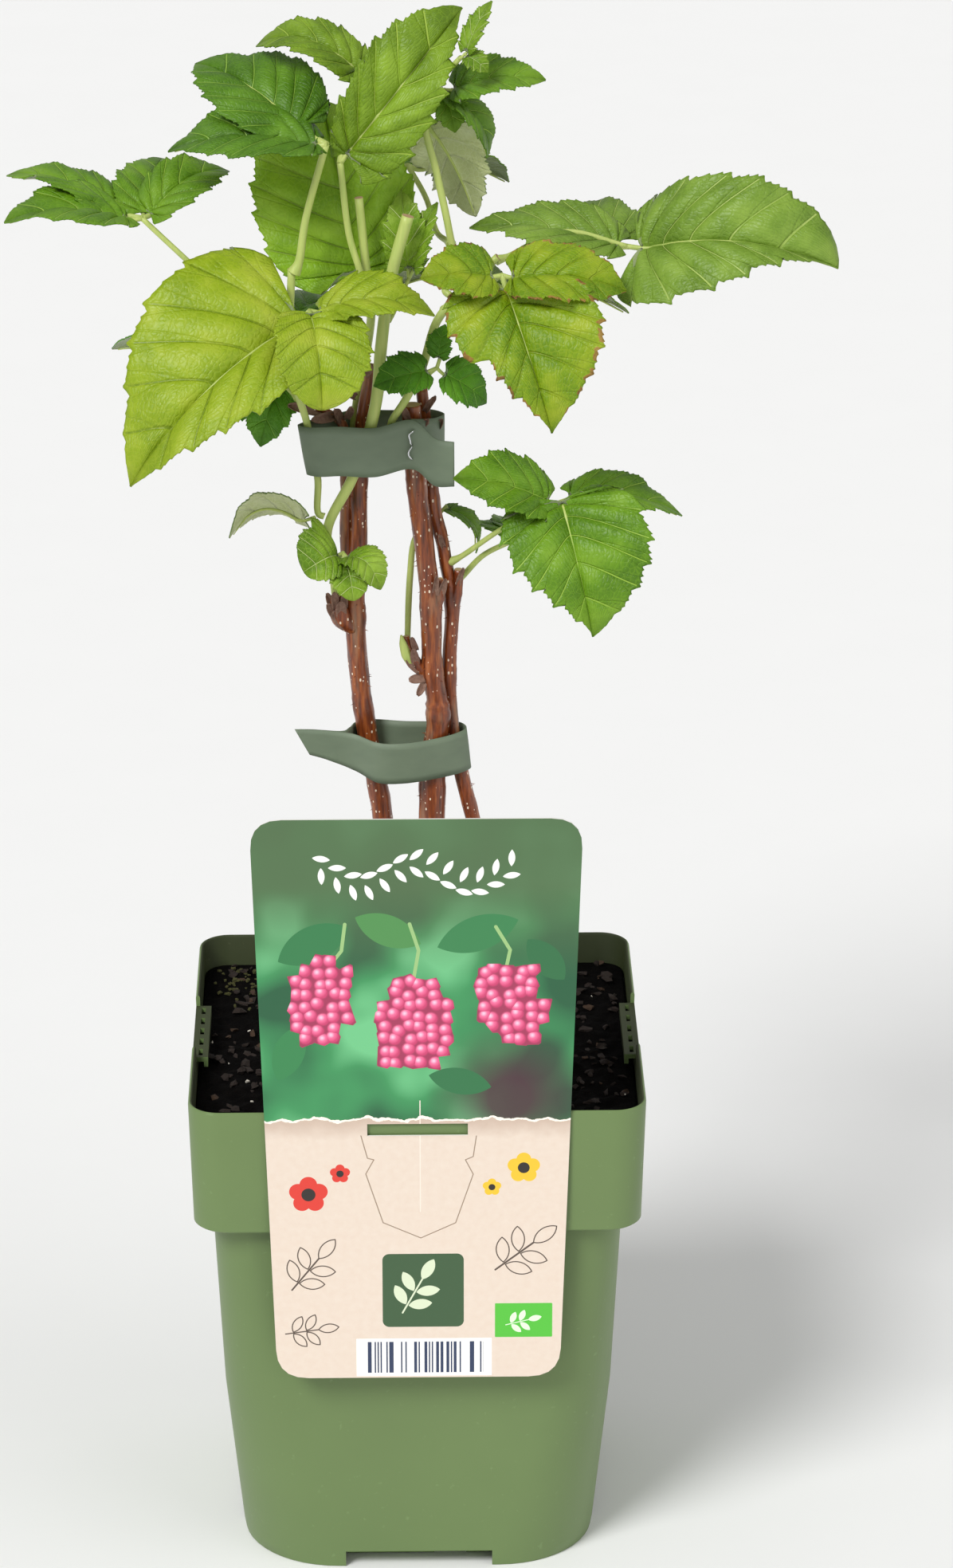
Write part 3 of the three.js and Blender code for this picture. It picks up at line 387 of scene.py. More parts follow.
@dataclass(frozen=True)
class PrintedCard(Finish):
    """Coated card: a blurred green picture with hanging red fruit above a torn edge, plain cream below."""

    cream: int = 0xEADCCD
    fibre: int = 0xE2CEBC
    # Colour of the painted shadow in a band below the torn edge.
    tear_shadow: int = 0xB79A86
    lip: int = 0xFFF6E8
    white: int = 0xF6F3EE
    leaf: int = 0x3B9257
    shade: int = 0x1E5B38
    glow: int = 0x6FC486
    olive: int = 0x4F6B44
    dusk: int = 0x4A2233
    tear: float = 151.2
    bead_mm: float = 3.5
    motifs: tuple[Motif, ...] = ()

    def mask(self, add: Add, sheet: Node | Socket, motif: Motif) -> Node:
        """Finds where a motif covers the sheet.

        Args:
            add: adds a node to the material.
            sheet: the sheet's own coordinates in millimetres.
            motif: the shape.

        Returns:
            The share that the shape covers.
        """
        cos, sin = math.cos(math.radians(motif.turn)), math.sin(math.radians(motif.turn))
        moved = add("VectorMath", {0: sheet, 1: (*motif.centre, 0.0)}, operation="SUBTRACT")
        along, across = (
            add("VectorMath", {0: moved, 1: axis}, operation="DOT_PRODUCT")
            for axis in ((cos, sin, 0.0), (-sin, cos, 0.0))
        )
        away = add("VectorMath", {0: add("CombineXYZ", {0: along, 1: across})}, operation="ABSOLUTE")
        away = add("VectorMath", {0: away, 1: (*motif.half, 0.0)}, operation="SUBTRACT")
        away = add("VectorMath", {0: away, 1: (0.0, 0.0, 0.0)}, operation="MAXIMUM")
        rim = {0: add("VectorMath", {0: away}, operation="LENGTH"), 1: motif.radius}
        if motif.outline:
            return add("Math", {**rim, 2: motif.outline / 2}, operation="COMPARE")
        return add("Math", rim, operation="LESS_THAN")

    def fruit(self, add: Add, sheet: Node) -> tuple[Socket, Node]:
        """Returns the middle of the nearest bead of fruit and the beads' colour, lit from the upper left."""
        grid = {"Vector": sheet, "Scale": 1 / self.bead_mm, "Randomness": 0.55}
        cells = add("TexVoronoi", grid, voronoi_dimensions="2D")
        middle = cells.outputs["Position"]
        lit_side = add("VectorMath", {0: middle, 1: (-0.5, 0.6, 0.0)}, operation="ADD")
        away = add("VectorMath", {0: sheet, 1: lit_side}, operation="DISTANCE")
        near = add("Math", {0: away, 1: 0.46}, operation="MULTIPLY")
        gleam = add("ValToRGB", {"Fac": near}, ((0.08, 0xFFC8DE), (0.45, 0xF4709C), (0.95, 0xCE4070)))
        gap = add("MapRange", {"Value": cells, 1: 0.44, 2: 0.6})
        return middle, add("Mix", {0: gap, 6: gleam, 7: 0xA23458}, data_type="RGBA")

    def picture(self, add: Add, sheet: Node, height: Socket) -> Node:
        """Returns the blurred green ground of the upper half."""
        blur = add("TexNoise", {"Vector": sheet, "Scale": 1 / 26, "Detail": 1.5})
        ground = add("ValToRGB", {"Fac": blur}, ((0.34, self.shade), (0.52, self.leaf), (0.66, self.glow)))
        dark_top = add("MapRange", {"Value": height, 1: 194.0, 2: 222.0, 4: 0.92})
        ground = add("Mix", {0: dark_top, 6: ground, 7: self.olive}, data_type="RGBA")
        corner = add("VectorMath", {0: sheet, 1: (26.0, 158.0, 0.0)}, operation="DISTANCE")
        dusk = add("MapRange", {"Value": corner, 1: 6.0, 2: 24.0, 3: 0.9, 4: 0.0})
        return add("Mix", {0: dusk, 6: ground, 7: self.dusk}, data_type="RGBA")

    def dress(self, add: Add, place: Socket) -> Sockets:
        """Returns the shader's sockets."""
        spread = add("SeparateXYZ", {0: place})
        flat = add("CombineXYZ", {0: spread, 1: spread.outputs[2]})
        sheet = add("VectorMath", {0: flat, "Scale": 1 / MM}, operation="SCALE")
        across, height, _ = add("SeparateXYZ", {0: sheet}).outputs
        fibre = add("TexNoise", {"Vector": sheet, "Scale": 0.5, "Detail": 5.0})
        ragged = add("TexNoise", {"Vector": sheet, "Scale": 0.16, "Detail": 5.0})
        wave = add("Math", {0: ragged, 1: 5.0, 2: self.tear - 2.5}, operation="MULTIPLY_ADD")
        under = add("Math", {0: wave, 1: height}, operation="SUBTRACT")
        # Painted shadow below the torn edge: strongest 1 mm under it, fading out 6 mm under it.
        darkened = add("MapRange", {"Value": under, 1: 1.0, 2: 6.0, 3: 0.55, 4: 0.0})
        torn = add("Math", {0: height, 1: wave}, operation="GREATER_THAN")
        edge = add("Math", {0: height, 1: wave, 2: 0.35}, operation="COMPARE")
        middle, berries = self.fruit(add, sheet)
        layers = [(darkened, self.tear_shadow), (torn, self.picture(add, sheet, height))]
        for motif in self.motifs:
            share = self.mask(add, middle if motif.beads else sheet, motif)
            if motif.bars:
                column = add("Math", {0: across, 1: motif.bars}, operation="SNAP")
                toss = add("TexWhiteNoise", {"W": column}, noise_dimensions="1D")
                black = add("Math", {0: toss, 1: 0.46}, operation="GREATER_THAN")
                share = add("Math", {0: share, 1: black}, operation="MULTIPLY")
            layers.append((share, berries if motif.beads else motif.colour))
        colour = add("Mix", {0: fibre, 6: self.cream, 7: self.fibre}, data_type="RGBA")
        for share, ink in (*layers, (edge, self.lip)):
            colour = add("Mix", {0: share, 6: colour, 7: ink}, data_type="RGBA")
        facing = add("SeparateXYZ", {0: add("NewGeometry").outputs["True Normal"]}).outputs[1]
        printed = add("Math", {0: facing, 1: -0.5}, operation="LESS_THAN")
        return {
            "Base Color": add("Mix", {0: printed, 6: self.white, 7: colour}, data_type="RGBA"),
            "Roughness": 0.34,
            "Coat Weight": 0.15,
            "Coat Roughness": 0.25,
            "Normal": add("Bump", {"Height": fibre, "Distance": 0.02 * MM, "Strength": 0.3}),
        }


RIND = GreenStem("young_green_stem")


# ----------------------------------------------------------------------------------------------
# Mesh tools
# ----------------------------------------------------------------------------------------------


def sheet(bm: Shape, across: int, along: int, place: Callable[[int, int], Vector]) -> dict:
    """Adds a grid and moves each of its corners to its place.

    Args:
        bm: the mesh that takes the grid.
        across: number of faces one way.
        along: number of faces the other way.
        place: gives a corner's place in millimetres from its two numbers.

    Returns:
        Each new vertex with its two numbers.
    """
    made = bmesh.ops.create_grid(bm, x_segments=across, y_segments=along, size=1.0)["verts"]
    low = min(vert.co.x for vert in made)
    span = max(vert.co.x for vert in made) - low
    numbers = {
        vert: (round((vert.co.x - low) / span * across), round((vert.co.y - low) / span * along))
        for vert in made
    }
    for vert, (i, j) in numbers.items():
        vert.co = place(i, j) * MM
    return numbers


def faces_of(verts: Iterable[bmesh.types.BMVert]) -> list[bmesh.types.BMFace]:
    """Returns the faces whose corners are all among some vertices, in an order that every run repeats."""
    chosen = dict.fromkeys(verts)
    found = dict.fromkeys(face for vert in chosen for face in vert.link_faces)
    return [face for face in found if all(vert in chosen for vert in face.verts)]


def paint(faces: Iterable[bmesh.types.BMFace], slot: int = 0) -> None:
    """Shades faces smoothly and gives them a material slot."""
    for face in faces:
        face.material_index = slot
        face.smooth = True


def paint_ends(bm: Shape, slot: int = 1) -> None:
    """Gives the caps at the ends of limbs a material slot."""
    for face in bm.faces:
        if len(face.verts) > 4:
            face.material_index = slot


def close(bm: Shape, verts: Iterable[bmesh.types.BMVert], slot: int) -> None:
    """Merges a wrapped grid's seam, fills its open ends and turns its faces outwards.

    Args:
        bm: the mesh.
        verts: the wrapped grid's vertices.
        slot: the material slot of its faces.
    """
    verts = list(verts)
    bmesh.ops.remove_doubles(bm, verts=verts, dist=1e-7)
    living = [vert for vert in verts if vert.is_valid]
    edges = dict.fromkeys(edge for vert in living for edge in vert.link_edges if edge.is_boundary)
    bmesh.ops.holes_fill(bm, edges=list(edges), sides=0)
    faces = faces_of(living)
    for face in faces:
        face.material_index = slot
        face.smooth = len(face.verts) == 4
    bmesh.ops.recalc_face_normals(bm, faces=faces)


def add_round(bm: Shape, sides: int, low: float, high: float, height: float, matrix: Matrix) -> None:
    """Adds an upright round bar by its radius at its low and its high end, in millimetres."""
    low, high, height = low * MM, high * MM, height * MM
    bmesh.ops.create_cone(
        bm, cap_ends=True, segments=sides, radius1=low, radius2=high, depth=height, matrix=matrix
    )


def to_mesh(bm: Shape, name: str) -> bpy.types.Mesh:
    """Returns a mesh with the shape, which is freed."""
    mesh = bpy.data.meshes.new(name)
    bm.to_mesh(mesh)
    bm.free()
    return mesh


def put(name: str, data: bpy.types.ID | None) -> bpy.types.Object:
    """Returns a new object in the scene."""
    thing = bpy.data.objects.new(name, data)
    bpy.context.scene.collection.objects.link(thing)
    return thing


def finish_piece(bm: Shape, name: str, finishes: Sequence[Finish], node: str) -> bpy.types.Object:
    """Turns a shape into a piece of the plant.

    Args:
        bm: the shape in metres, in its own place.
        name: the piece's name.
        finishes: one finish for each material slot.
        node: the solid that the piece stands for.

    Returns:
        The new object.
    """
    piece = put(name, to_mesh(bm, name))
    for finish in finishes:
        piece.data.materials.append(finish.material())
    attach(piece, "root")
    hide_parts(node)
    LOG.info("%s: %d faces", name, len(piece.data.polygons))
    return piece


class Curve:
    """A centripetal Catmull-Rom curve through points in millimetres."""

    def __init__(self, points: Sequence[Sequence[float]]) -> None:
        """Keeps the points."""
        self.points = [Vector(point[:3]) for point in points]

    def point(self, share: float) -> Vector:
        """Returns the point at a share of the curve, counted by its spans."""
        points = self.points
        last = len(points) - 1
        place = last * min(max(share, 0.0), 1.0)
        span = min(int(place), last - 1)
        here, there = points[span], points[span + 1]
        before = points[span - 1] if span > 0 else here * 2 - there
        after = points[span + 2] if span + 2 <= last else there * 2 - here
        gaps = [math.sqrt((b - a).length) for a, b in ((before, here), (here, there), (there, after))]
        middle = gaps[1] if gaps[1] > 1e-4 else 1.0
        first = gaps[0] if gaps[0] > 1e-4 else middle
        third = gaps[2] if gaps[2] > 1e-4 else middle
        step = (there - here) / middle
        start = ((here - before) / first - (there - before) / (first + middle) + step) * middle
        end = (step - (after - here) / (middle + third) + (after - there) / third) * middle
        t = place - span
        return (
            here
            + start * t
            + (here * -3 + there * 3 - start * 2 - end) * t**2
            + (here * 2 - there * 2 + start + end) * t**3
        )

    def tangent(self, share: float) -> Vector:
        """Returns the unit direction at a share of the curve."""
        low, high = max(share - 1e-4, 0.0), min(share + 1e-4, 1.0)
        return (self.point(high) - self.point(low)).normalized()


class Limb:
    """A cane, shoot or petiole through stations of x, y, z and radius, from its foot to its tip."""

    def __init__(self, *stations: Station) -> None:
        """Keeps the stations and the curve through them."""
        self.stations = stations
        self.curve = Curve(stations)

    def radius(self, share: float) -> float:
        """Returns the radius at a share of the limb."""
        place = share * (len(self.stations) - 1)
        span = min(int(place), len(self.stations) - 2)
        low, high = self.stations[span][3], self.stations[span + 1][3]
        return low + (high - low) * (place - span)

    def reaching(self, height: float) -> float:
        """Returns the share of the limb where it first reaches a height."""
        share = 0.0
        while share < 1 and self.curve.point(share).z < height:
            share += 0.002
        return min(share, 1.0)

    def bud(self, height: float, target: Vector, radius: float) -> tuple[Vector, Vector]:
        """Finds where a shoot that heads for a point leaves the limb.

        Args:
            height: the height of the bud.
            target: the point that the shoot heads for.
            radius: the shoot's radius.

        Returns:
            The shoot's foot, just clear of the bark, and its elbow.
        """
        share = self.reaching(height)
        centre = self.curve.point(share)
        along = self.curve.tangent(share)
        away = target - centre
        away = (away - along * away.dot(along)).normalized()
        start = centre + away * (self.radius(share) + CLEAR)
        return start, start + away * radius * 1.6

    def shoot(self, height: float, radius: float, *stations: Station) -> "Limb":
        """Returns a green shoot from a bud at a height, on through its own stations."""
        start, elbow = self.bud(height, Vector(stations[0][:3]), radius)
        return Limb((*start, radius), (*elbow, radius), *stations)

    def add_to(
        self, bm: Shape, slot: int = 0, sides: int = 10, step: float = 2.0,
        relief: Callable[[float, Vector], float] | None = None,
    ) -> None:
        """Adds the limb's skin, closed at both ends.

        Args:
            bm: the mesh that takes it.
            slot: its material slot.
            sides: number of faces around.
            step: length of a face along the limb in millimetres.
            relief: gives how far the skin stands out at an angle and a point.
        """
        length = sum((b - a).length for a, b in zip(self.curve.points, self.curve.points[1:]))
        rings = max(3, round(length / step))
        frames = []
        normal = Vector((1, 0, 0))
        for i in range(rings + 1):
            along = self.curve.tangent(i / rings)
            normal = (normal - along * normal.dot(along)).normalized()
            frames.append((self.curve.point(i / rings), normal, along.cross(normal)))

        def place(i: int, j: int) -> Vector:
            """Returns where a corner lies: i counts around and j along."""
            centre, out, side = frames[j]
            turn = 2 * math.pi * (i % sides) / sides
            way = out * math.cos(turn) + side * math.sin(turn)
            point = centre + way * self.radius(j / rings)
            return point + way * relief(turn, point) if relief else point

        close(bm, sheet(bm, sides, rings, place), slot)


# ----------------------------------------------------------------------------------------------
# Sizes of the pot and the plant, in millimetres
# ----------------------------------------------------------------------------------------------

RIM_HALF = 65.0
RIM_HEIGHT = 153.0
WALL = 1.2
FLOOR_UNDER = 5.0
FOOT_HALF = 50.2  # inner half width of the foot ring
FOOT_GAP = (43.0, 5.3)
RIM_DIP = (37.0, 3.4)
SOIL_TOP = 145.0
# Height, half width across the flats and corner radius.
BODY_SECTIONS = (
    (0, 51.4, 28), (4, 52, 28), (20, 53.4, 26), (56, 56.4, 20), (106, 58.4, 13), (115, 58.8, 12.5),
)
TAPE_THICK = 0.5

UPPER_TIE = (
    (11.4, -8.8, 326.4, 13, 0), (6, -7.6, 326.6, 14, 0), (0, -7, 331.6, 14.4, 0), (-11, -7.8, 329.6, 14.4, 0),
    (-21, -7.8, 330, 14.4, 0), (-28, -7.6, 329.8, 14.4, -2.2), (-31.1, -4.9, 329.6, 14.4, -2.4),
    (-28.8, -1.4, 329.6, 14.4, -2.2), (-22.6, 5, 329.6, 14.4, 0), (-17, 8.8, 329.6, 14.4, 0),
    (-6, 8.8, 329.6, 14.4, 0), (4.6, 9.4, 329.6, 14.4, 0), (8.6, 6, 329.4, 14.4, 0), (7, 0.6, 330, 14.4, 0),
    (3.6, -4, 331, 14.4, 0), (-0.6, -6.1, 331.6, 14.4, 0),
)
LOWER_TIE = (
    (-32.2, -2.8, 241, 7.8, -4.2), (-26.4, -2.2, 240, 9, -2), (-18, -2.8, 238, 11, 0),
    (-10.8, -7.2, 236.2, 12.2, 0), (-3, -7.8, 236.2, 12.2, 0), (6, -5.4, 236.6, 12.2, 0),
    (13, -1.9, 237.2, 12.2, -1), (15.9, 2.2, 237.4, 12.2, -1.4), (13.4, 6, 237.6, 12.2, 0),
    (7, 6.8, 237.6, 12.2, 0), (-3, 7.4, 237.6, 12.2, 0), (-12, 8.8, 237.6, 12.2, 0),
    (-17.2, 6.8, 237.6, 12.2, 0), (-18.8, 2.4, 238, 11.4, 0), (-20.4, -0.8, 238.6, 10.6, 0),
    (-26.4, -1.4, 240, 9, -2), (-31, -1.8, 240.8, 8, -4),
)


def foot(x: float, y: float, radius: float) -> tuple[Station, Station]:
    """Returns the two lowest stations of a cane that stands on the compost."""
    return (x, y, SOIL_TOP + CLEAR, radius * 1.35), (x, y, SOIL_TOP + 6, radius * 1.1)


def grow_limbs() -> dict[str, Limb]:
    """Returns every cane, spur and shoot by name."""
    limbs = {
        "cane_left": Limb(
            *foot(-5, 5.6, 3), (-9.6, 5, 217, 2.9), (-13.6, 4.5, 241, 2.8), (-15.8, 4, 260, 2.8),
            (-16.8, 3, 281, 2.8), (-15.6, 3, 300, 2.6), (-15.4, 3, 320, 2.4), (-14.2, 3, 336, 1.9),
            (-11.4, 3, 352, 1.5),
        ),
        "cane_left_twin": Limb(
            (-17.2, 3.4, 280, 1.6), (-18.7, 3.8, 291, 1.9), (-19.1, 3.8, 306, 1.8), (-19, 4, 320, 1.6),
            (-19.6, 3, 334, 1.4), (-24, 1.4, 338.6, 1.1), (-30.6, 0.4, 341, 0.7),
        ),
        "cane_middle": Limb(
            *foot(4, 0, 3.9), (4.9, 0, 217, 3.8), (5.2, 0, 235, 3.6), (6.9, 0, 248, 3), (5.2, 0, 262, 2.9),
            (4.8, 0, 281, 3), (3.3, 0.4, 297, 2.8), (1, 0.6, 316, 2.8), (0, 0.6, 330, 2.8),
            (-0.6, 0.6, 341, 2.6),
        ),
        "cane_right": Limb(
            *foot(22.6, 2, 2.3), (19, 2, 204, 2.2), (16.2, 2, 218, 2.2), (12.6, 2, 233, 2.1),
            (10.5, 3, 248, 2), (10.1, 3.4, 262, 2), (10.9, 3.4, 280, 2), (8.9, 4, 295, 1.9),
            (5.4, 5, 312, 1.9), (4.2, 5.8, 328, 1.8), (2.4, 6, 344, 1.7),
        ),
        "spur_middle": Limb(
            (5.4, 0, 281, 2), (7.2, -0.8, 285, 1.5), (7.6, -1.2, 290, 0.8),
        ),
        "spur_bud": Limb(
            (4.2, 0.6, 260.5, 1.6), (0.2, 0.2, 264, 1.9), (-1.6, 0.4, 268, 1.8), (-2.4, 0.6, 272, 1),
        ),
        "spur_right": Limb(
            (11, 3.2, 280, 1.6), (12.4, 2.6, 285, 1.5), (12.9, 2.4, 291.4, 1.3),
        ),
        "spur_left": Limb(
            (-17, 2.6, 273.5, 2), (-20.4, 1.2, 277, 2.6), (-21.6, 0.6, 281, 2.4), (-22.2, 0.2, 284.5, 1.6),
        ),
        "green_bud": Limb(
            (-1, -1.2, 264, 0.9), (-2.2, -1.7, 267, 1.5), (-3.2, -1.6, 270.5, 1.1), (-3.7, -1.4, 273, 0.3),
        ),
        "shoot_main": Limb(
            (-22.4, 0, 284.9, 1.2), (-22.9, -1.6, 291, 1.25), (-24.3, -4.6, 306, 1.6),
            (-17.4, -4.4, 320.6, 1.8), (-12.4, -4.5, 334.4, 1.9), (-9.9, -4, 346.3, 2), (-8.9, -3, 358.5, 2),
            (-6.2, -2, 377.8, 1.9), (-1.2, -2, 396.3, 2),
        ),
        "shoot_inner": Limb(
            (-1.9, 1.8, 270.5, 1), (-1.8, 3.4, 273, 1), (-1.5, 4.8, 281, 1.1), (-1, 5.6, 289, 1.1),
            (0.2, 7.4, 298.4, 1), (4, 9.4, 304.6, 0.9),
        ),
    }
    limbs["shoot_side"] = limbs["shoot_main"].shoot(
        309, 1.1, (-26.9, -4, 320.7, 1.2), (-28.8, -4.5, 330.5, 1.2), (-29.8, -5, 337.7, 1.2),
        (-32.5, -6, 348, 1.3), (-34.1, -6, 363.5, 1.3), (-33.5, -5, 382.2, 1.3),
    )
    limbs["stem_slim"] = limbs["cane_left"].shoot(
        326, 1.2, (-17, 6.8, 331, 1.2), (-15.6, 6.8, 342, 1.3), (-12.8, 5.4, 356, 1.4), (-11.5, 2, 369, 1.4),
        (-12.6, 1, 378, 1.4), (-14.8, 0, 401, 1.4),
    )
    limbs["shoot_right"] = limbs["cane_middle"].shoot(
        333, 1.2, (-6.4, -3.6, 336, 1.2), (-2.1, -4.4, 344, 1.3), (2.6, -3, 353, 1.4), (6.7, 1, 365, 1.4),
        (12.7, 2, 372.4, 1.4), (18.2, 1, 378.4, 1.4), (23.8, 0, 383.9, 1.3),
    )
    limbs["shoot_top"] = limbs["shoot_right"].shoot(
        371, 1.2, (11.6, 5, 380, 1.2), (10.1, 4, 391, 1.2), (6.8, 4, 407, 1.2), (3.6, 4, 422, 1.1),
        (6.4, 4, 430.6, 1), (9.5, 3.4, 435.2, 0.9), (13.4, 1.6, 440, 0.8),
    )
    return limbs


# ----------------------------------------------------------------------------------------------
# Leaves
# ----------------------------------------------------------------------------------------------


@dataclass(frozen=True)
class Tone:
    """The greens of one spray of leaves, and the record's slot that they belong to."""

    slot: str
    upper: int
    shade: int
    light: int
    # crease colours the vein faces. For SCORCHED, YELLOWED and BEHIND it is darker than the blade, which is
    # painted shade in the sunken veins. For the rest it is the veins' own paler green.
    crease: int
    under: int = 0x7C8C5C
    rib: int = 0x9CAB70


class Skin(Enum):
    """The sprays' colours, from shaded deep green to yellowed and pale young growth."""

    SHADED = Tone("leaf_deep", 0x4C8414, 0x3F740E, 0x629A22, 0x76A238, under=0xB2C09E)
    # Painted light: BEHIND is a lighter copy of the deep green, so the leaf at the back of the crown looks
    # lit though the leaves in front shade it.
    BEHIND = Tone("leaf_deep", 0x86B022, 0x749E1A, 0x98BE34, 0x7E9A38)
    CROWN = Tone("leaf_deep", 0x4F7A14, 0x41690E, 0x648F24, 0x7FA33C)
    FRESH = Tone("leaf_fresh", 0x7A9E20, 0x5E8412, 0x98B840, 0xC2D08A, rib=0xB9C884)
    GRASS = Tone("leaf_fresh", 0x5F8A14, 0x4E770E, 0x769E26, 0x8FB040)
    SAGE = Tone("leaf_fresh", 0x6E8E2C, 0x5F7E22, 0x82A03C, 0x9FB45C)
    TALL = Tone("leaf_lime", 0x6C8C16, 0x5B7A0E, 0x84A42A, 0x97B042)
    SCORCHED = Tone("leaf_lime", 0x76940C, 0x5F8208, 0x96A824, 0x6A840E)
    YELLOWED = Tone("leaf_lime", 0x8CA41C, 0x7C9612, 0xA2B234, 0x6C840E)
    FELT = Tone("leaf_grey", 0x7E9456, 0x6F8548, 0x92A86A, 0xA4B67C, under=0xBFC98C, rib=0xD6DDB0)


class Face(IntEnum):
    """The material slots of every leaf."""

    UPPER = 0
    VEIN = 1
    SCORCH = 2
    UNDER = 3
    RIB = 4
    STALK = 5


# Each lateral vein ends in a broad tooth that leans to the tip; three small teeth climb up to the next.
# Each entry is a share of the way to the next vein and how far the edge stands out there.
SERRATION = (
    (0.022, 1.2), (0.07, 0.35), (0.13, -0.85), (0.22, -0.5), (0.3, 0.05), (0.35, -0.5),
    (0.46, -0.2), (0.56, 0.4), (0.61, -0.1), (0.72, 0.2), (0.82, 0.75), (0.87, 0.4), (0.978, 1.2),
)
# Shares of the way from the midrib to the edge.
COLUMNS = (0.0, 0.014, 0.04, 0.1, 0.19, 0.3, 0.42, 0.54, 0.66, 0.78, 0.88, 0.95, 1.0)
# The raised midrib: shares of the blade and its radius there, as a share of the stalk's.
RIB = ((0.02, 0.72), (0.2, 0.6), (0.45, 0.48), (0.7, 0.36), (0.96, 0.2))
BLADE_THICK = 0.4
SLIM = 0.8  # a petiole's radius as a share of its solid's


def smooth(value: float, low: float, high: float) -> float:
    """Rises smoothly from 0 to 1 as a value goes from low to high."""
    share = min(max((value - low) / (high - low), 0.0), 1.0)
    return share * share * (3 - 2 * share)


def scatter(*numbers: float) -> float:
    """Returns an even, repeatable scatter from -1 to 1."""
    return math.sin(sum(number * weight for number, weight in zip(numbers, (12.9898, 78.233, 37.719))) * 43.7)


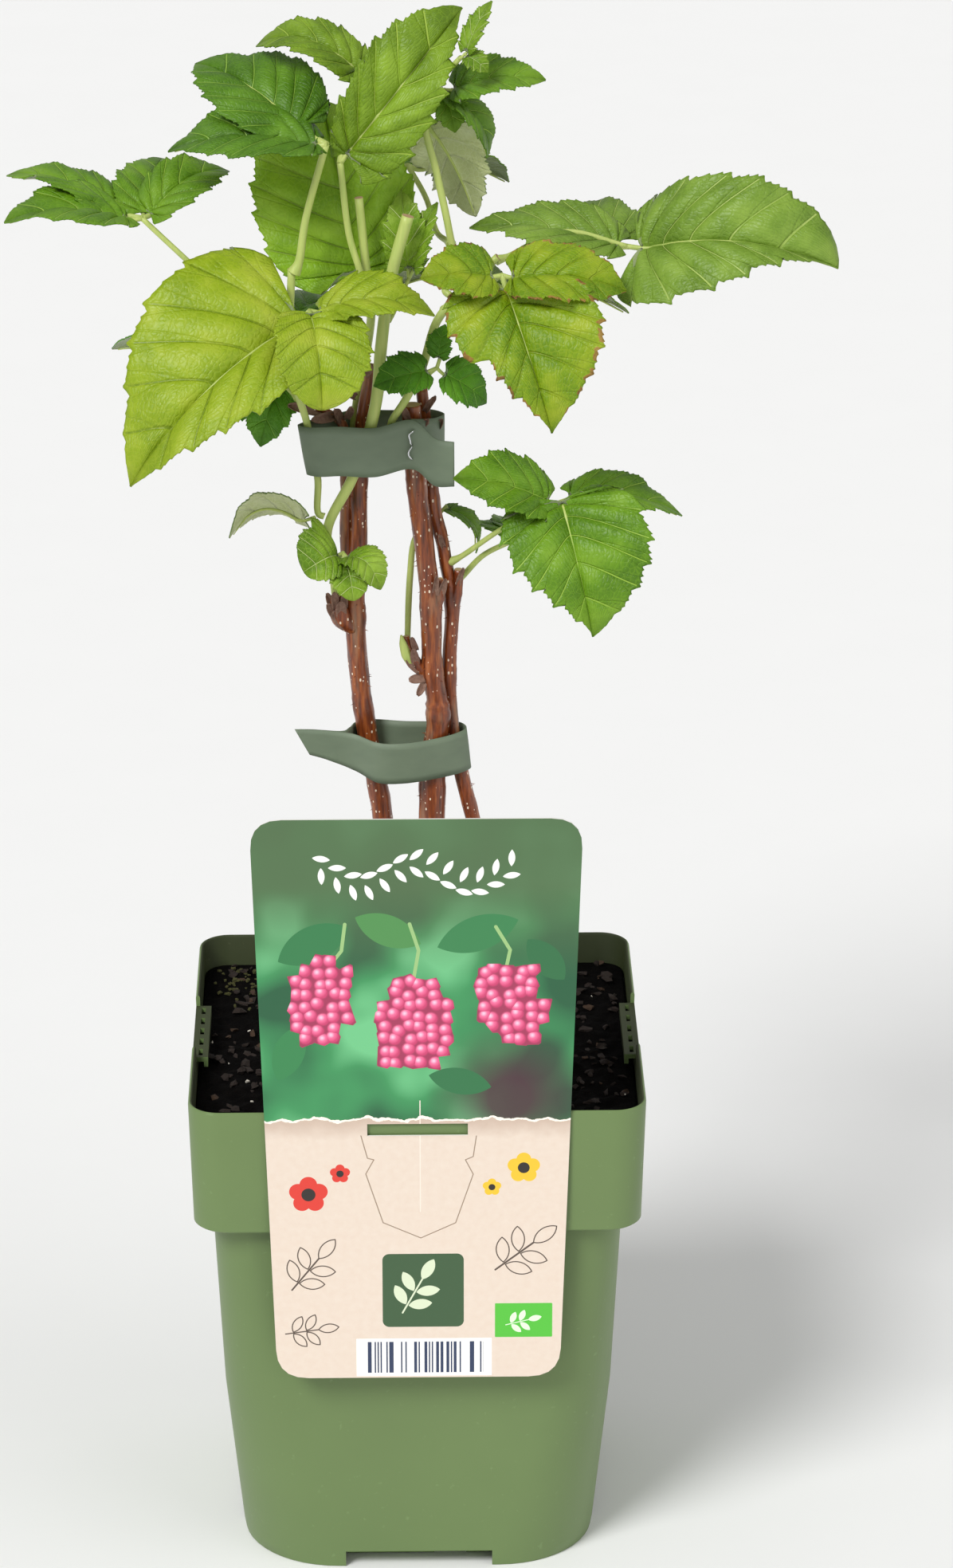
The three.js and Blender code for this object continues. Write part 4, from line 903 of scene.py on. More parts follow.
@dataclass(frozen=True)
class Leaflet:
    """One leaflet: where it points, which way its upper face looks and its proportions.

    Each half's outline swells by its first power from the stalk and tapers by its second one to the tip.
    """

    tip: Point
    face: Point
    width: float | None = None
    bow: float | None = None
    fold: float = 0.25
    skew: float = 0.0
    stalk: float = 3.0
    start: Point | None = None
    scorched: bool = False
    left: tuple[float, float] = (0.58, 0.92)
    right: tuple[float, float] = (0.58, 0.92)
    lobe: float = 0.12
    notch: float = 0.0
    veins: int = 7
    dome: float = 1.25
    tooth: float = 0.92

    def outline(self, e: float, sign: int) -> float:
        """Returns half the width at a share of the edge, where 1 is the widest place.

        Args:
            e: share of the edge, from the stalk to the tip.
            sign: 1 for the left half and -1 for the right one.
        """
        full, taper = self.left if sign > 0 else self.right
        total = full + taper
        widest = (full / total) ** full * (taper / total) ** taper
        half = max(e, 0.0) ** full * max(1 - e, 0.0) ** taper / widest
        if self.notch * sign > 0:
            half *= 1 - abs(self.notch) * smooth(e, 0.4, 0.46) * (1 - 0.5 * smooth(e, 0.46, 0.7))
        return half * (1 + sign * self.skew)

    def edge(self, e: float) -> float:
        """Returns how far along a point of the edge sits: two lobes reach back past the stalk."""
        return e - self.lobe * smooth(e, 0, 0.05) * (1 - smooth(e, 0.15, 0.5))

    def add_to(self, bm: Shape, hub: Vector, stem: float) -> None:
        """Adds the blade, its midrib and its stalk.

        Args:
            bm: the leaf's mesh.
            hub: the joint at the end of the petiole.
            stem: the petiole's radius.
        """
        tip = Vector(self.tip)
        base = Vector(self.start) if self.start else hub + (tip - hub).normalized() * self.stalk
        chord = tip - base
        length = chord.length
        up = Vector(self.face)
        up = (up - chord * (up.dot(chord) / chord.length_squared)).normalized()
        width = self.width or 0.6 * length
        middle = (base + tip) / 2 + up * (0.1 * length if self.bow is None else self.bow) * 2
        veins = self.veins - (length <= 34) - (length <= 22)
        rows = [(0.0, 0.0), *((k + f, t) for k in range(veins) for f, t in SERRATION), (veins, 0.0)]
        across = len(COLUMNS) - 1
        phase = (tip.x + tip.y) * 0.7
        size = min(length / 45, 1.2)

        def midrib(share: float) -> tuple[Vector, Vector]:
            """Returns the midrib's place and direction at a share of it."""
            a, b = 1 - share, share
            point = base * (a * a) + middle * (2 * a * b) + tip * (b * b)
            return point, ((middle - base) * a + (tip - middle) * b).normalized()

        def place(i: int, j: int) -> Vector:
            """Returns where a corner lies: i counts across the blade and j along it."""
            v = COLUMNS[abs(i - across)]
            sign = -1 if i < across else 1
            step, tooth = rows[j]
            e = step / veins
            tooth *= 1 + 0.3 * scatter(round(step * 3), sign, phase)
            edge = self.edge(e) + 0.02 * self.tooth * max(tooth, 0) * (1 - e)
            leave = max(e - 0.33 * math.sin(math.pi * e), 0.0)
            share = min(leave + (edge - leave) * v**1.2, 1.0)
            centre, along = midrib(max(share, 0.0))
            side = up.cross(along).normalized()
            rise = along.cross(side)
            half = max(width / 2 * self.outline(e, sign), 0.3)
            body = min(half / 8, 1.0)
            fringe = tooth * self.tooth * (0.45 + 0.55 * size) * min(1.0, 4 * (1 - e), 0.35 + 4 * e) * v**6
            out = v * half + fringe * min(half / 3, 1.0)
            between = abs(math.sin(math.pi * (step % 1.0)))
            quilt = between**0.7 * math.sin(math.pi * (v * 0.82) ** 0.6)
            lift = out * math.sin(self.fold) * (1 - 0.45 * v)
            lift += self.dome * size * body * quilt
            lift -= 0.6 * size * body * math.exp(-((v / 0.06) ** 2))
            lift += 1.2 * size * body * math.sin(7.5 * e + phase + 1.3 * sign) * v * v
            lift += 0.5 * size * body * math.sin(23 * e + phase * 2 + sign) * v**5
            flat = out * math.cos(self.fold)
            return centre + along * min(share, 0.0) * length + side * sign * flat + rise * lift

        numbers = sheet(bm, 2 * across, len(rows) - 1, place)
        chart = bm.loops.layers.uv["blade"]
        upper = faces_of(numbers)
        paint(upper)
        for face in upper:
            corners = [numbers[vert] for vert in face.verts]
            i, j = (min(values) for values in zip(*corners))
            outer = max(COLUMNS[abs(column - across)] for column, _ in corners)
            lateral = j % len(SERRATION) == 0 and 0 < j < len(rows) - 2 and outer < 0.99
            for loop in face.loops:
                column, row = numbers[loop.vert]
                loop[chart].uv = (rows[row][0], COLUMNS[abs(column - across)])
            if i in (across - 1, across) or lateral:
                face.material_index = Face.VEIN
            elif self.scorched and outer == 1.0 and scatter(j // 3, i, phase) > 0.15:
                face.material_index = Face.SCORCH
        bmesh.ops.recalc_face_normals(bm, faces=upper)
        self.thicken(bm, upper, numbers, up)
        rib = [(*(hub - (base - hub).normalized() * 0.3), stem * 0.8)]
        for share, radius in RIB:
            point, along = midrib(share)
            rise = along.cross(up.cross(along).normalized())
            rib.append((*(point - rise * (0.55 + BLADE_THICK * 0.5 + radius * stem * 0.3)), radius * stem))
        Limb(*rib).add_to(bm, Face.STALK, 8, 1.6)

    def thicken(self, bm: Shape, upper: list[bmesh.types.BMFace], numbers: dict, up: Vector) -> None:
        """Gives the blade its thickness and sorts the faces of its underside.

        Args:
            bm: the leaf's mesh.
            upper: the faces of the upper side.
            numbers: the vertices of the upper side.
            up: the way the upper side looks.
        """
        if sum(face.normal.dot(up) * face.calc_area() for face in upper) < 0:
            bmesh.ops.reverse_faces(bm, faces=upper)
        mark = bm.verts.layers.int["mark"]
        sunk = []
        for vert in numbers:
            vert[mark] = len(sunk)
            vert.normal_update()
            sunk.append(vert.co - vert.normal * BLADE_THICK * MM)
        before = set(bm.faces)
        bmesh.ops.extrude_face_region(bm, geom=upper, use_keep_orig=True)
        made = [face for face in bm.faces if face not in before]
        lower = {vert for face in made for vert in face.verts if vert not in numbers}
        for vert in lower:
            vert.co = sunk[vert[mark]]
        swap = {Face.UPPER: Face.UNDER, Face.VEIN: Face.RIB}
        for face in made:
            face.smooth = True
            if all(vert in lower for vert in face.verts):
                face.material_index = swap.get(face.material_index, face.material_index)
        bmesh.ops.recalc_face_normals(bm, faces=[*upper, *made])


@dataclass(frozen=True)
class Leaf:
    """A compound leaf: the petiole from its bud to the joint, and the leaflets from there."""

    on: str
    height: float
    joint: Point
    skin: Skin
    leaflets: tuple[Leaflet, ...]
    radius: float = 0.9
    via: tuple[Point, ...] = ()

    def finishes(self) -> list[Finish]:
        """Returns the finishes of the leaf's faces, in the order of Face."""
        tone = self.skin.value
        key = self.skin.name.lower()
        return [
            LeafFace(f"leaf_upper_{key}", tone.upper, tone.shade, tone.light),
            LeafFace(f"leaf_crease_{key}", tone.crease, tone.crease, tone.light, depth_mm=0.05),
            LeafFace("leaf_scorched_margin", 0x8C6A2E, 0x6E5224, 0xA98C48, 0.7),
            LeafFace(f"leaf_felt_{key}", tone.under, tone.under, tone.rib, 0.8, felt=0.3),
            LeafFace(f"leaf_rib_{key}", tone.rib, tone.under, tone.rib, 0.6),
            RIND,
        ]

    def build(self, name: str, limb: Limb) -> None:
        """Builds the leaf.

        Args:
            name: the name of the solid that it stands for.
            limb: the cane or shoot that holds it.
        """
        hub = Vector(self.joint)
        first = Vector(self.via[0]) if self.via else hub
        start, elbow = limb.bud(self.height, first, self.radius)
        slim = self.radius * SLIM
        bm = bmesh.new()
        bm.verts.layers.int.new("mark")
        bm.loops.layers.uv.new("blade")
        root = start + (start - elbow).normalized() * 0.9
        joined = start + (first - start).normalized() * min(3.0, (first - start).length * 0.25)
        on_the_way = ((*point, slim) for point in self.via)
        petiole = Limb((*root, slim * 1.9), (*joined, slim * 1.15), *on_the_way, (*hub, slim * 0.95))
        petiole.add_to(bm, Face.STALK, 12, 1.2)
        for leaflet in self.leaflets:
            leaflet.add_to(bm, hub, self.radius)
        finish_piece(bm, f"{name}_blades", self.finishes(), name)


LEAVES = {
    "leaf_crown_left": Leaf(
        "shoot_side", 381, (-23.6, -6, 417.7), Skin.CROWN, radius=1.3, via=((-29.5, -5, 396),), leaflets=(
            Leaflet((-60, 25, 433), (-0.1, -0.3, 1), 32, stalk=10),
            Leaflet((-67, -6, 416), (0, -0.25, 1), 30, 4),
        ),
    ),
    "leaf_crown_tall": Leaf(
        "stem_slim", 369, (-19.8, -3.5, 412), Skin.TALL, radius=1.2,
        via=((-14.5, -2, 380), (-17.5, -2.5, 391)),
        leaflets=(
            Leaflet((14, 10, 452), (0.1, -0.95, 0.25), 27.5, 4, left=(0.9, 0.8), right=(0.42, 1.15)),
            Leaflet((-43, 20, 439), (0.3, -0.5, 0.8), 18, 7, start=(-15, 8, 435)),
        ),
    ),
    "leaf_crown_back": Leaf(
        "stem_slim", 371, (-14, 8, 375), Skin.BEHIND, leaflets=(
            Leaflet((-25, 34, 420), (-0.1, -0.8, 0.6), 46, skew=0.12, left=(0.45, 0.6), right=(0.58, 0.92)),
        ),
    ),
    "leaf_far_left": Leaf(
        "shoot_side", 354, (-74.7, -2, 396), Skin.GRASS, radius=1, via=((-50, -5, 372),), leaflets=(
            Leaflet((-112, -13, 398), (0, -0.1, 1), 30, stalk=5),
            Leaflet((-51, 18, 404), (0.1, -0.25, 1), 19, 5),
            Leaflet((-70, 32, 404), (0, -0.2, 1), 20),
            Leaflet((-113, 18, 403), (0, 0, 1), 22, stalk=8),
        ),
    ),
    "leaf_broad_left": Leaf(
        "shoot_side", 366, (-28.5, -15, 373), Skin.YELLOWED, leaflets=(
            Leaflet(
                (-78, -38, 330), (-0.3, -0.75, 0.6), 50, 9, stalk=4, skew=-0.29, left=(0.4, 1),
                right=(0.4, 1), lobe=0.16, tooth=0.8,
            ),
            Leaflet(
                (-25, -38, 351.5), (0.15, -0.9, 0.4), 27, 5, start=(-28, -22, 374), skew=0.1, left=(0.5, 0.6),
                right=(0.5, 0.6),
            ),
            Leaflet((6, -20, 373), (0.05, -0.3, 1), 22, 5),
        ),
    ),
    "leaf_mid_right": Leaf(
        "shoot_right", 373, (24.6, -12, 382), Skin.SCORCHED, radius=1, leaflets=(
            Leaflet((2, -18, 383), (-0.2, -0.6, 0.75), 19, scorched=True),
            Leaflet((59, -14, 378), (0.1, -0.5, 0.85), 24, scorched=True),
            Leaflet(
                (38, -33, 343), (0, -0.85, 0.5), 42, stalk=4, scorched=True, skew=0.07, notch=-0.3,
                left=(0.7, 1.1), right=(0.45, 1.4), tooth=0.9,
            ),
        ),
    ),
    "leaf_far_right": Leaf(
        "shoot_right", 383, (60, 6, 385), Skin.SAGE, radius=1, via=((42, 7, 389),), leaflets=(
            Leaflet(
                (118, -6, 382), (0, -0.75, 0.65), 39, 10.5, stalk=4, skew=-0.04, left=(0.35, 0.42),
                right=(0.5, 2),
            ),
            Leaflet((16, 12, 389), (0, -0.3, 1), 24, 3),
            Leaflet((40, 38, 385), (0, -0.2, 1), 26, stalk=5),
        ),
    ),
    "leaf_low_right": Leaf(
        "cane_right", 293, (40.5, -8, 314.6), Skin.GRASS, via=((26, -3.2, 306),), leaflets=(
            Leaflet((11, -14, 324), (-0.1, -0.55, 0.8), 22),
            Leaflet(
                (50, -26, 281), (0, -0.85, 0.5), 41, 5, start=(41.5, -11.5, 316), skew=0.06,
                left=(0.58, 0.95), right=(0.55, 1.5), tooth=1.3,
            ),
            Leaflet((76, 0, 308), (0.1, -0.2, 1), 20, start=(44, -4.5, 315.5)),
        ),
    ),
    "leaf_young_left": Leaf(
        "shoot_main", 296, (-20, -9, 300.4), Skin.FRESH, radius=0.8, leaflets=(
            Leaflet(
                (-31, -17, 297.6), (-0.3, -0.9, 0.3), 18.5, 4, skew=-0.3, dome=2.2, left=(0.5, 0.5),
                right=(0.4, 0.5), stalk=2, tooth=0.8, notch=-0.2, veins=10,
            ),
            Leaflet(
                (-17, -20, 290), (0.1, -0.8, 0.6), 12.5, 3, dome=2, left=(0.5, 0.6), right=(0.5, 0.6),
                stalk=2, tooth=0.8, veins=10,
            ),
            Leaflet(
                (-9.4, -18, 292.6), (0.4, -0.7, 0.6), 12, 5, dome=2, left=(0.5, 0.7), right=(0.5, 0.7),
                stalk=2, tooth=0.8, veins=10,
            ),
        ),
    ),
    "leaf_pale_left": Leaf(
        "shoot_main", 304, (-28, -6, 310), Skin.FELT, radius=0.7, leaflets=(
            Leaflet((-52, -10, 305.5), (-0.1, 0.7, 0.7), 16, 7),
        ),
    ),
    "leaf_centre_dark": Leaf(
        "shoot_right", 350, (6.6, -7, 354), Skin.SHADED, radius=0.7, leaflets=(
            Leaflet((-11, -11, 350), (-0.1, -0.7, 0.7), 14),
            Leaflet((9, -5, 366), (-0.5, -0.8, 0.1), 8),
            Leaflet((20.5, -5, 343), (0.1, -0.6, 0.8), 15),
        ),
    ),
    "leaf_small_upright": Leaf(
        "shoot_main", 366, (-1, 3, 377), Skin.FRESH, radius=0.7, leaflets=(
            Leaflet((-3, 8, 401), (0, -0.9, 0.3), 13, fold=0.35),
            Leaflet((7, 6, 398), (-0.5, -0.8, 0.3), 9, fold=0.4),
        ),
    ),
    "leaf_behind_left": Leaf(
        "shoot_side", 345, (-36, 6, 350), Skin.SHADED, via=((-35.5, -1, 347.5),), leaflets=(
            Leaflet((-43, 0, 329), (-0.2, -0.7, 0.6), 16),
            Leaflet((-60, 6, 331), (-0.2, -0.5, 0.8), 18),
            Leaflet((-85, 20, 352), (-0.1, 0.5, 0.8), 28, stalk=12),
        ),
    ),
    "leaf_top_young": Leaf(
        "shoot_top", 440, (14.6, 0.2, 441.4), Skin.FRESH, radius=0.5, leaflets=(
            Leaflet((22, 5, 455), (-0.6, -0.6, 0.3), 7.5, 1, stalk=1),
            Leaflet((21, -3, 437), (0.2, -0.8, 0.5), 6.5, 1, stalk=1),
        ),
    ),
    "leaf_top_right": Leaf(
        "shoot_top", 427, (9, 8.4, 429.4), Skin.GRASS, radius=0.6, leaflets=(
            Leaflet((37, 6, 432.6), (0, -0.4, 0.9), 18),
            Leaflet((12, 5, 418), (0.2, -0.9, 0.4), 10, stalk=1),
            Leaflet((21, 8, 410), (0.5, -0.3, 0.7), 14, 4),
        ),
    ),
    "leaf_hanging": Leaf(
        "shoot_top", 415, (3.6, 12, 421), Skin.FELT, radius=0.8, leaflets=(
            Leaflet(
                (18, 18, 390.5), (0.2, 0.9, 0.3), 23, skew=0.1, notch=0.3, left=(0.45, 0.7), right=(0.5, 0.9),
                tooth=1.3,
            ),
        ),
    ),
    "leaf_curved": Leaf(
        "shoot_inner", 303, (9.3, 11, 307.4), Skin.GRASS, radius=0.7, leaflets=(
            Leaflet((18, 12, 293), (0.8, -0.2, 0.6), 9, 4, stalk=1),
        ),
    ),
    "leaf_back_top": Leaf(
        "shoot_top", 386, (-1, 34, 401), Skin.GRASS, radius=1, via=((7, 14, 387), (4, 25, 394)), leaflets=(
            Leaflet((-14, 72, 386), (-0.2, 0.5, 0.9), 36, stalk=4),
            Leaflet((-37, 47, 395), (-0.1, 0.3, 1), 22),
            Leaflet((28, 50, 392), (0.1, 0.3, 1), 24),
        ),
    ),
    "leaf_back_left": Leaf(
        "stem_slim", 348, (-34, 30, 359), Skin.CROWN, radius=1.1, via=((-24, 20, 355),), leaflets=(
            Leaflet((-58, 70, 338), (-0.3, 0.6, 0.8), 42, stalk=5),
            Leaflet((-70, 30, 352), (-0.2, 0.2, 1), 25),
            Leaflet((-14, 60, 351), (0.2, 0.4, 0.9), 25),
        ),
    ),
    "leaf_back_right": Leaf(
        "shoot_right", 368, (24, 26, 368), Skin.TALL, radius=1.1, via=((16, 14, 370),), leaflets=(
            Leaflet((40, 68, 346), (0.3, 0.6, 0.8), 40, stalk=5),
            Leaflet((-6, 52, 360), (-0.2, 0.4, 0.9), 23),
            Leaflet((62, 36, 357), (0.3, 0.3, 0.9), 24),
        ),
    ),
    "leaf_back_low": Leaf(
        "cane_right", 286, (31, 20, 295), Skin.GRASS, radius=1, via=((20, 13, 292),), leaflets=(
            Leaflet((52, 56, 272), (0.4, 0.5, 0.8), 36, stalk=4),
            Leaflet((25, 54, 285), (-0.1, 0.5, 0.9), 22),
            Leaflet((68, 32, 283), (0.3, 0.2, 0.9), 21),
        ),
    ),
}


# ----------------------------------------------------------------------------------------------
# Canes, shoots and ties
# ----------------------------------------------------------------------------------------------


@dataclass(frozen=True)
class Scale:
    """A dry papery scale left at a bud: where it is held, where it points and its size in millimetres."""

    root: Point
    tip: Point
    width: float = 2.0
    curl: float = 1.0

    def add_to(self, bm: Shape, slot: int) -> None:
        """Adds the scale to a cane's mesh."""
        root, tip = Vector(self.root), Vector(self.tip)
        along = (tip - root).normalized()
        side = along.cross(Vector((0.2, -0.9, 0.4))).normalized()
        rise = side.cross(along)

        def place(i: int, j: int) -> Vector:
            """Returns where a corner lies: i counts across the scale and j along it."""
            v, share = i / 3 - 1, j / 8
            half = self.width / 2 * (share + 0.12) ** 0.4 * (1.02 - share) ** 0.45 * 1.35
            bend = self.curl * (share * share * 0.8 + v * v * 0.45 + 0.2 * scatter(i, j, self.width))
            return root.lerp(tip, share) + side * v * half + rise * bend

        faces = faces_of(sheet(bm, 6, 8, place))
        paint(faces, slot)
        bmesh.ops.recalc_face_normals(bm, faces=faces)
        bmesh.ops.solidify(bm, geom=faces, thickness=0.16 * MM)


SCALES = {
    "cane_left": (
        Scale((-19.6, -0.6, 275.6), (-23.4, -1.6, 280.2), 4, 0.6),
        Scale((-21.6, -1, 277.4), (-24.8, -1.4, 282.6), 3.2, 0.7),
        Scale((-20.6, -1.2, 278.2), (-21, -2.6, 283.8), 4, 0.5),
        Scale((-22.6, -0.2, 280), (-25, -0.2, 285.4), 2.6, 0.8),
        Scale((-22.2, -1.4, 281), (-22.8, -2.4, 286.6), 2.8, 0.6),
        Scale((-20, -0.6, 281), (-19.8, -1.4, 286.4), 2.6, 0.9),
        Scale((-24, 1.2, 338.4), (-35.4, -2, 341.6), 3.6, 1.4),
        Scale((-22, 0.8, 337.6), (-29, -3, 337.4), 3.4, 1.6), Scale((-20, 1.8, 336), (-22.6, -2.6, 341), 3.2),
        Scale((-18.6, 1.6, 336.5), (-17.4, -2.4, 342), 2.8),
        Scale((-16.2, 1.2, 343), (-20, -1, 346.2), 2.6, 1.5),
        Scale((-13.4, 1.4, 349), (-11.4, -0.6, 353.6), 2.4),
        Scale((-18.2, 1.6, 288), (-20.4, 0.2, 292.6), 1.8),
    ),
    "cane_middle": (
        Scale((3.4, -1.2, 260), (-1.6, -2, 259.6), 3.2, 0.7),
        Scale((1.6, -1.3, 262), (-2.4, -2.4, 266), 3.2, 0.6),
        Scale((0.6, -1.5, 264), (-0.6, -2.6, 269.4), 3, 0.6),
        Scale((-1.2, -1, 265), (-3.8, -1.2, 269.6), 2.6, 0.6),
        Scale((3.4, -1.4, 259.4), (0.8, -2.2, 255.2), 2.4, 1.2),
        Scale((0.6, -0.6, 268), (-1, -1.4, 272.4), 2.2, 0.6),
        Scale((7, -1.6, 283), (9, -2.6, 290.6), 2.4, 0.8), Scale((5.8, -2, 284), (6.4, -2.8, 291.6), 2, 0.8),
        Scale((0.4, -2.2, 334), (4.6, -4.2, 338.6), 3, 1.4), Scale((-1.2, -2, 337), (-3.6, -3.6, 342), 2.4),
    ),
    "cane_right": (
        Scale((12.4, 1.4, 287), (14, 0.8, 292.6), 1.8, 0.7), Scale((8.4, 2.4, 298), (6.8, 0.8, 302.6), 1.8),
        Scale((4.6, 3.4, 331), (8.4, 2, 336.6), 2.8, 1.4), Scale((3.2, 3.8, 338), (6.4, 2.4, 343.2), 2.2),
    ),
}

# What each cane's piece is made of, and the height and size of its swollen joints.
CANES = {
    "cane_left": (
        ("cane_left", "cane_left_twin", "spur_left"), ((277, 0.4), (249, 0.25), (318, 0.3), (222, 0.25)),
    ),
    "cane_middle": (
        ("cane_middle", "spur_middle", "spur_bud"),
        ((281, 0.3), (248.5, 0.8), (262, 0.3), (226, 0.25), (316, 0.25)),
    ),
    "cane_right": (("cane_right", "spur_right"), ((281, 0.3), (258, 0.2), (233, 0.25), (312, 0.25))),
}


@dataclass
class Canes:
    """The ripened canes with their spurs, buds, scales and prickles."""

    sides: int = 28
    step: float = 1.0
    prickles: int = 70
    finishes: tuple[Finish, ...] = (
        CaneBark("raspberry_bark"),
        Grained("pruned_pith", 0xC8AE84, 0xA88A60, 0.85, 0.8, 0.15),
        Grained("dry_bud_scale", 0x5A3222, 0xA08270, 0.75, 0.9, 0.2),
        RIND,
    )

    def relief(self, joints: Sequence, seed: float) -> Callable[[float, Vector], float]:
        """Returns the bark's ridges, lumps and swollen joints for one cane."""

        def swollen(past: float) -> float:
            """Returns a joint's swelling at a height past it, with a narrow ring above."""
            return math.exp(-((past / 2.4) ** 2)) + 0.6 * math.exp(-(((past - 3) / 0.7) ** 2))

        def stand_out(turn: float, point: Vector) -> float:
            """Returns how far the bark stands out at an angle and a point."""
            x, y, z = point
            ridges = 0.035 * math.sin(7 * turn + 2.5 * math.sin(z * 0.06 + seed))
            lumps = 0.24 * noise.noise(Vector((x * 0.5, y * 0.5, z * 0.11 + seed)))
            fine = 0.06 * noise.noise(Vector((x * 2.2, y * 2.2, z * 0.9 + seed)))
            return ridges + lumps + fine + sum(size * swollen(z - height) for height, size in joints)

        return stand_out

    def add_prickles(self, bm: Shape, cane: Limb, chance: random.Random) -> None:
        """Adds fine prickles to the lower half of a cane.

        Args:
            bm: the cane's mesh.
            cane: the cane that carries them.
            chance: the source of their places and sizes.
        """
        for _ in range(self.prickles):
            share = chance.uniform(0.15, 0.8)
            turn = chance.uniform(0, 2 * math.pi)
            along = cane.curve.tangent(share)
            out = Matrix.Rotation(turn, 3, along) @ along.orthogonal().normalized()
            root = cane.curve.point(share) + out * (cane.radius(share) - 0.3)
            length = chance.uniform(0.7, 1.5)
            way = (out + along * chance.uniform(-0.5, 0.2)).normalized()
            spot = Matrix.Translation((root + way * length / 2) * MM)
            add_round(bm, 5, 0.17, 0.02, length, spot @ way.to_track_quat("Z", "Y").to_matrix().to_4x4())

    def build(self, limbs: dict[str, Limb]) -> None:
        """Builds the three canes."""
        chance = random.Random(11)
        for number, (name, (parts, joints)) in enumerate(CANES.items()):
            bm = bmesh.new()
            for part in parts:
                limbs[part].add_to(bm, 0, self.sides, self.step, self.relief(joints, number * 7.0))
            paint_ends(bm)
            self.add_prickles(bm, limbs[name], chance)
            if name == "cane_middle":
                limbs["green_bud"].add_to(bm, 3, 12, 0.6)
            for scale in SCALES[name]:
                scale.add_to(bm, 2)
            finish_piece(bm, f"{name}_bark", self.finishes, name)


@dataclass
class Shoots:
    """The green shoots that rise from buds on the canes."""

    sides: int = 16
    step: float = 1.5
    slender: float = 0.86
    cut: Finish = Grained("cut_green_stem", 0xC2A880, 0x9A7458, 0.8, 0.7, 0.1)
    names: tuple[str, ...] = (
        "shoot_main", "shoot_side", "stem_slim", "shoot_right", "shoot_top", "shoot_inner",
    )

    def build(self, limbs: dict[str, Limb]) -> None:
        """Builds every shoot as a piece of its own."""
        for name in self.names:
            bm = bmesh.new()
            slim = Limb(*((*place, radius * self.slender) for *place, radius in limbs[name].stations))
            slim.add_to(bm, 0, self.sides, self.step)
            paint_ends(bm)
            finish_piece(bm, f"{name}_rind", (RIND, self.cut), name)


@dataclass
class TapeTie:
    """A soft tape on edge along a route of x, y, z of its middle, its height and how its top leans in x."""

    name: str
    route: tuple[tuple[float, float, float, float, float], ...]
    steps: int = 160
    rows: int = 6
    tape: Finish = SoftTape("soft_vinyl_tape")

    def build(self) -> None:
        """Builds the tape."""
        curve = Curve(self.route)
        spans = len(self.route) - 1

        def place(i: int, j: int) -> Vector:
            """Returns where a corner lies: i counts along the tape and j up it."""
            share = i / self.steps
            span = min(int(share * spans), spans - 1)
            past = share * spans - span
            height, lean = (
                low + (high - low) * past for low, high in zip(self.route[span][3:], self.route[span + 1][3:])
            )
            across = UP.cross(curve.tangent(share)).normalized()
            level = j / self.rows - 0.5
            buckle = 0.25 * math.sin(share * 41 + level * 3) * level
            out = across * (TAPE_THICK * 0.4 + buckle)
            return curve.point(share) + out + Vector((level * lean, 0, level * height))

        bm = bmesh.new()
        faces = faces_of(sheet(bm, self.steps, self.rows, place))
        bmesh.ops.recalc_face_normals(bm, faces=faces)
        middle = Vector((-6, 0, 0)) * MM
        if sum(face.normal.dot(face.calc_center_median() - middle) for face in faces) < 0:
            bmesh.ops.reverse_faces(bm, faces=faces)
        bmesh.ops.solidify(bm, geom=faces, thickness=TAPE_THICK * 0.8 * MM)
        paint(bm.faces)
        finish_piece(bm, f"{self.name}_tape", (self.tape,), self.name)


@dataclass
class Staple:
    """The wire staple that holds the upper tie closed: its two legs come through the tape and bend over."""

    wire: float = 0.28
    legs: tuple[tuple[Point, ...], ...] = (
        ((0.1, -7.5, 336), (-0.2, -8, 335.8), (-1.2, -8.1, 334.9), (-0.9, -8.1, 333.2),
         (-0.7, -8, 332.1), (-0.4, -7.5, 331.9)),
        ((-0.4, -7.5, 331.4), (-0.6, -8, 331.1), (-1.3, -8.1, 330), (-1.3, -8.1, 328.8),
         (-0.6, -8, 327.8), (-0.3, -7.5, 327.6)),
    )
    steel: Finish = WireSteel("drawn_steel_wire")

    def build(self) -> None:
        """Builds the two bent legs."""
        bm = bmesh.new()
        for leg in self.legs:
            Limb(*((*point, self.wire) for point in leg)).add_to(bm, 0, 12, 0.3)
        finish_piece(bm, "staple_wire", (self.steel,), "staple")


# ----------------------------------------------------------------------------------------------
# Pot and compost
# ----------------------------------------------------------------------------------------------


def square_point(k: int, half: float, corner: float, steps: int) -> tuple[float, float]:
    """Returns point k of a rounded square with a number of steps to each corner."""
    quarter, step = divmod(k, steps + 1)
    angle = (quarter % 4 + step / steps) * math.pi / 2
    middle = (quarter % 4 + 0.5) * math.pi / 2
    offset = (half - corner) * math.sqrt(2)
    return tuple(offset * turn(middle) + corner * turn(angle) for turn in (math.cos, math.sin))


def combine(base: bpy.types.Mesh, tool: bpy.types.Mesh, operation: str) -> bpy.types.Mesh:
    """Cuts a mesh with another, or joins them.

    Args:
        base: the mesh to work on.
        tool: the mesh that cuts or joins.
        operation: DIFFERENCE or UNION.

    Returns:
        The new mesh.
    """
    body, cutter = put("work_body", base), put("work_tool", tool)
    modifier = body.modifiers.new("combine", "BOOLEAN")
    modifier.operation = operation
    modifier.solver = "EXACT"
    modifier.use_self = True
    modifier.object = cutter
    bpy.context.view_layer.update()
    result = bpy.data.meshes.new_from_object(body.evaluated_get(bpy.context.evaluated_depsgraph_get()))
    for work in (body, cutter):
        bpy.data.objects.remove(work)
    return result


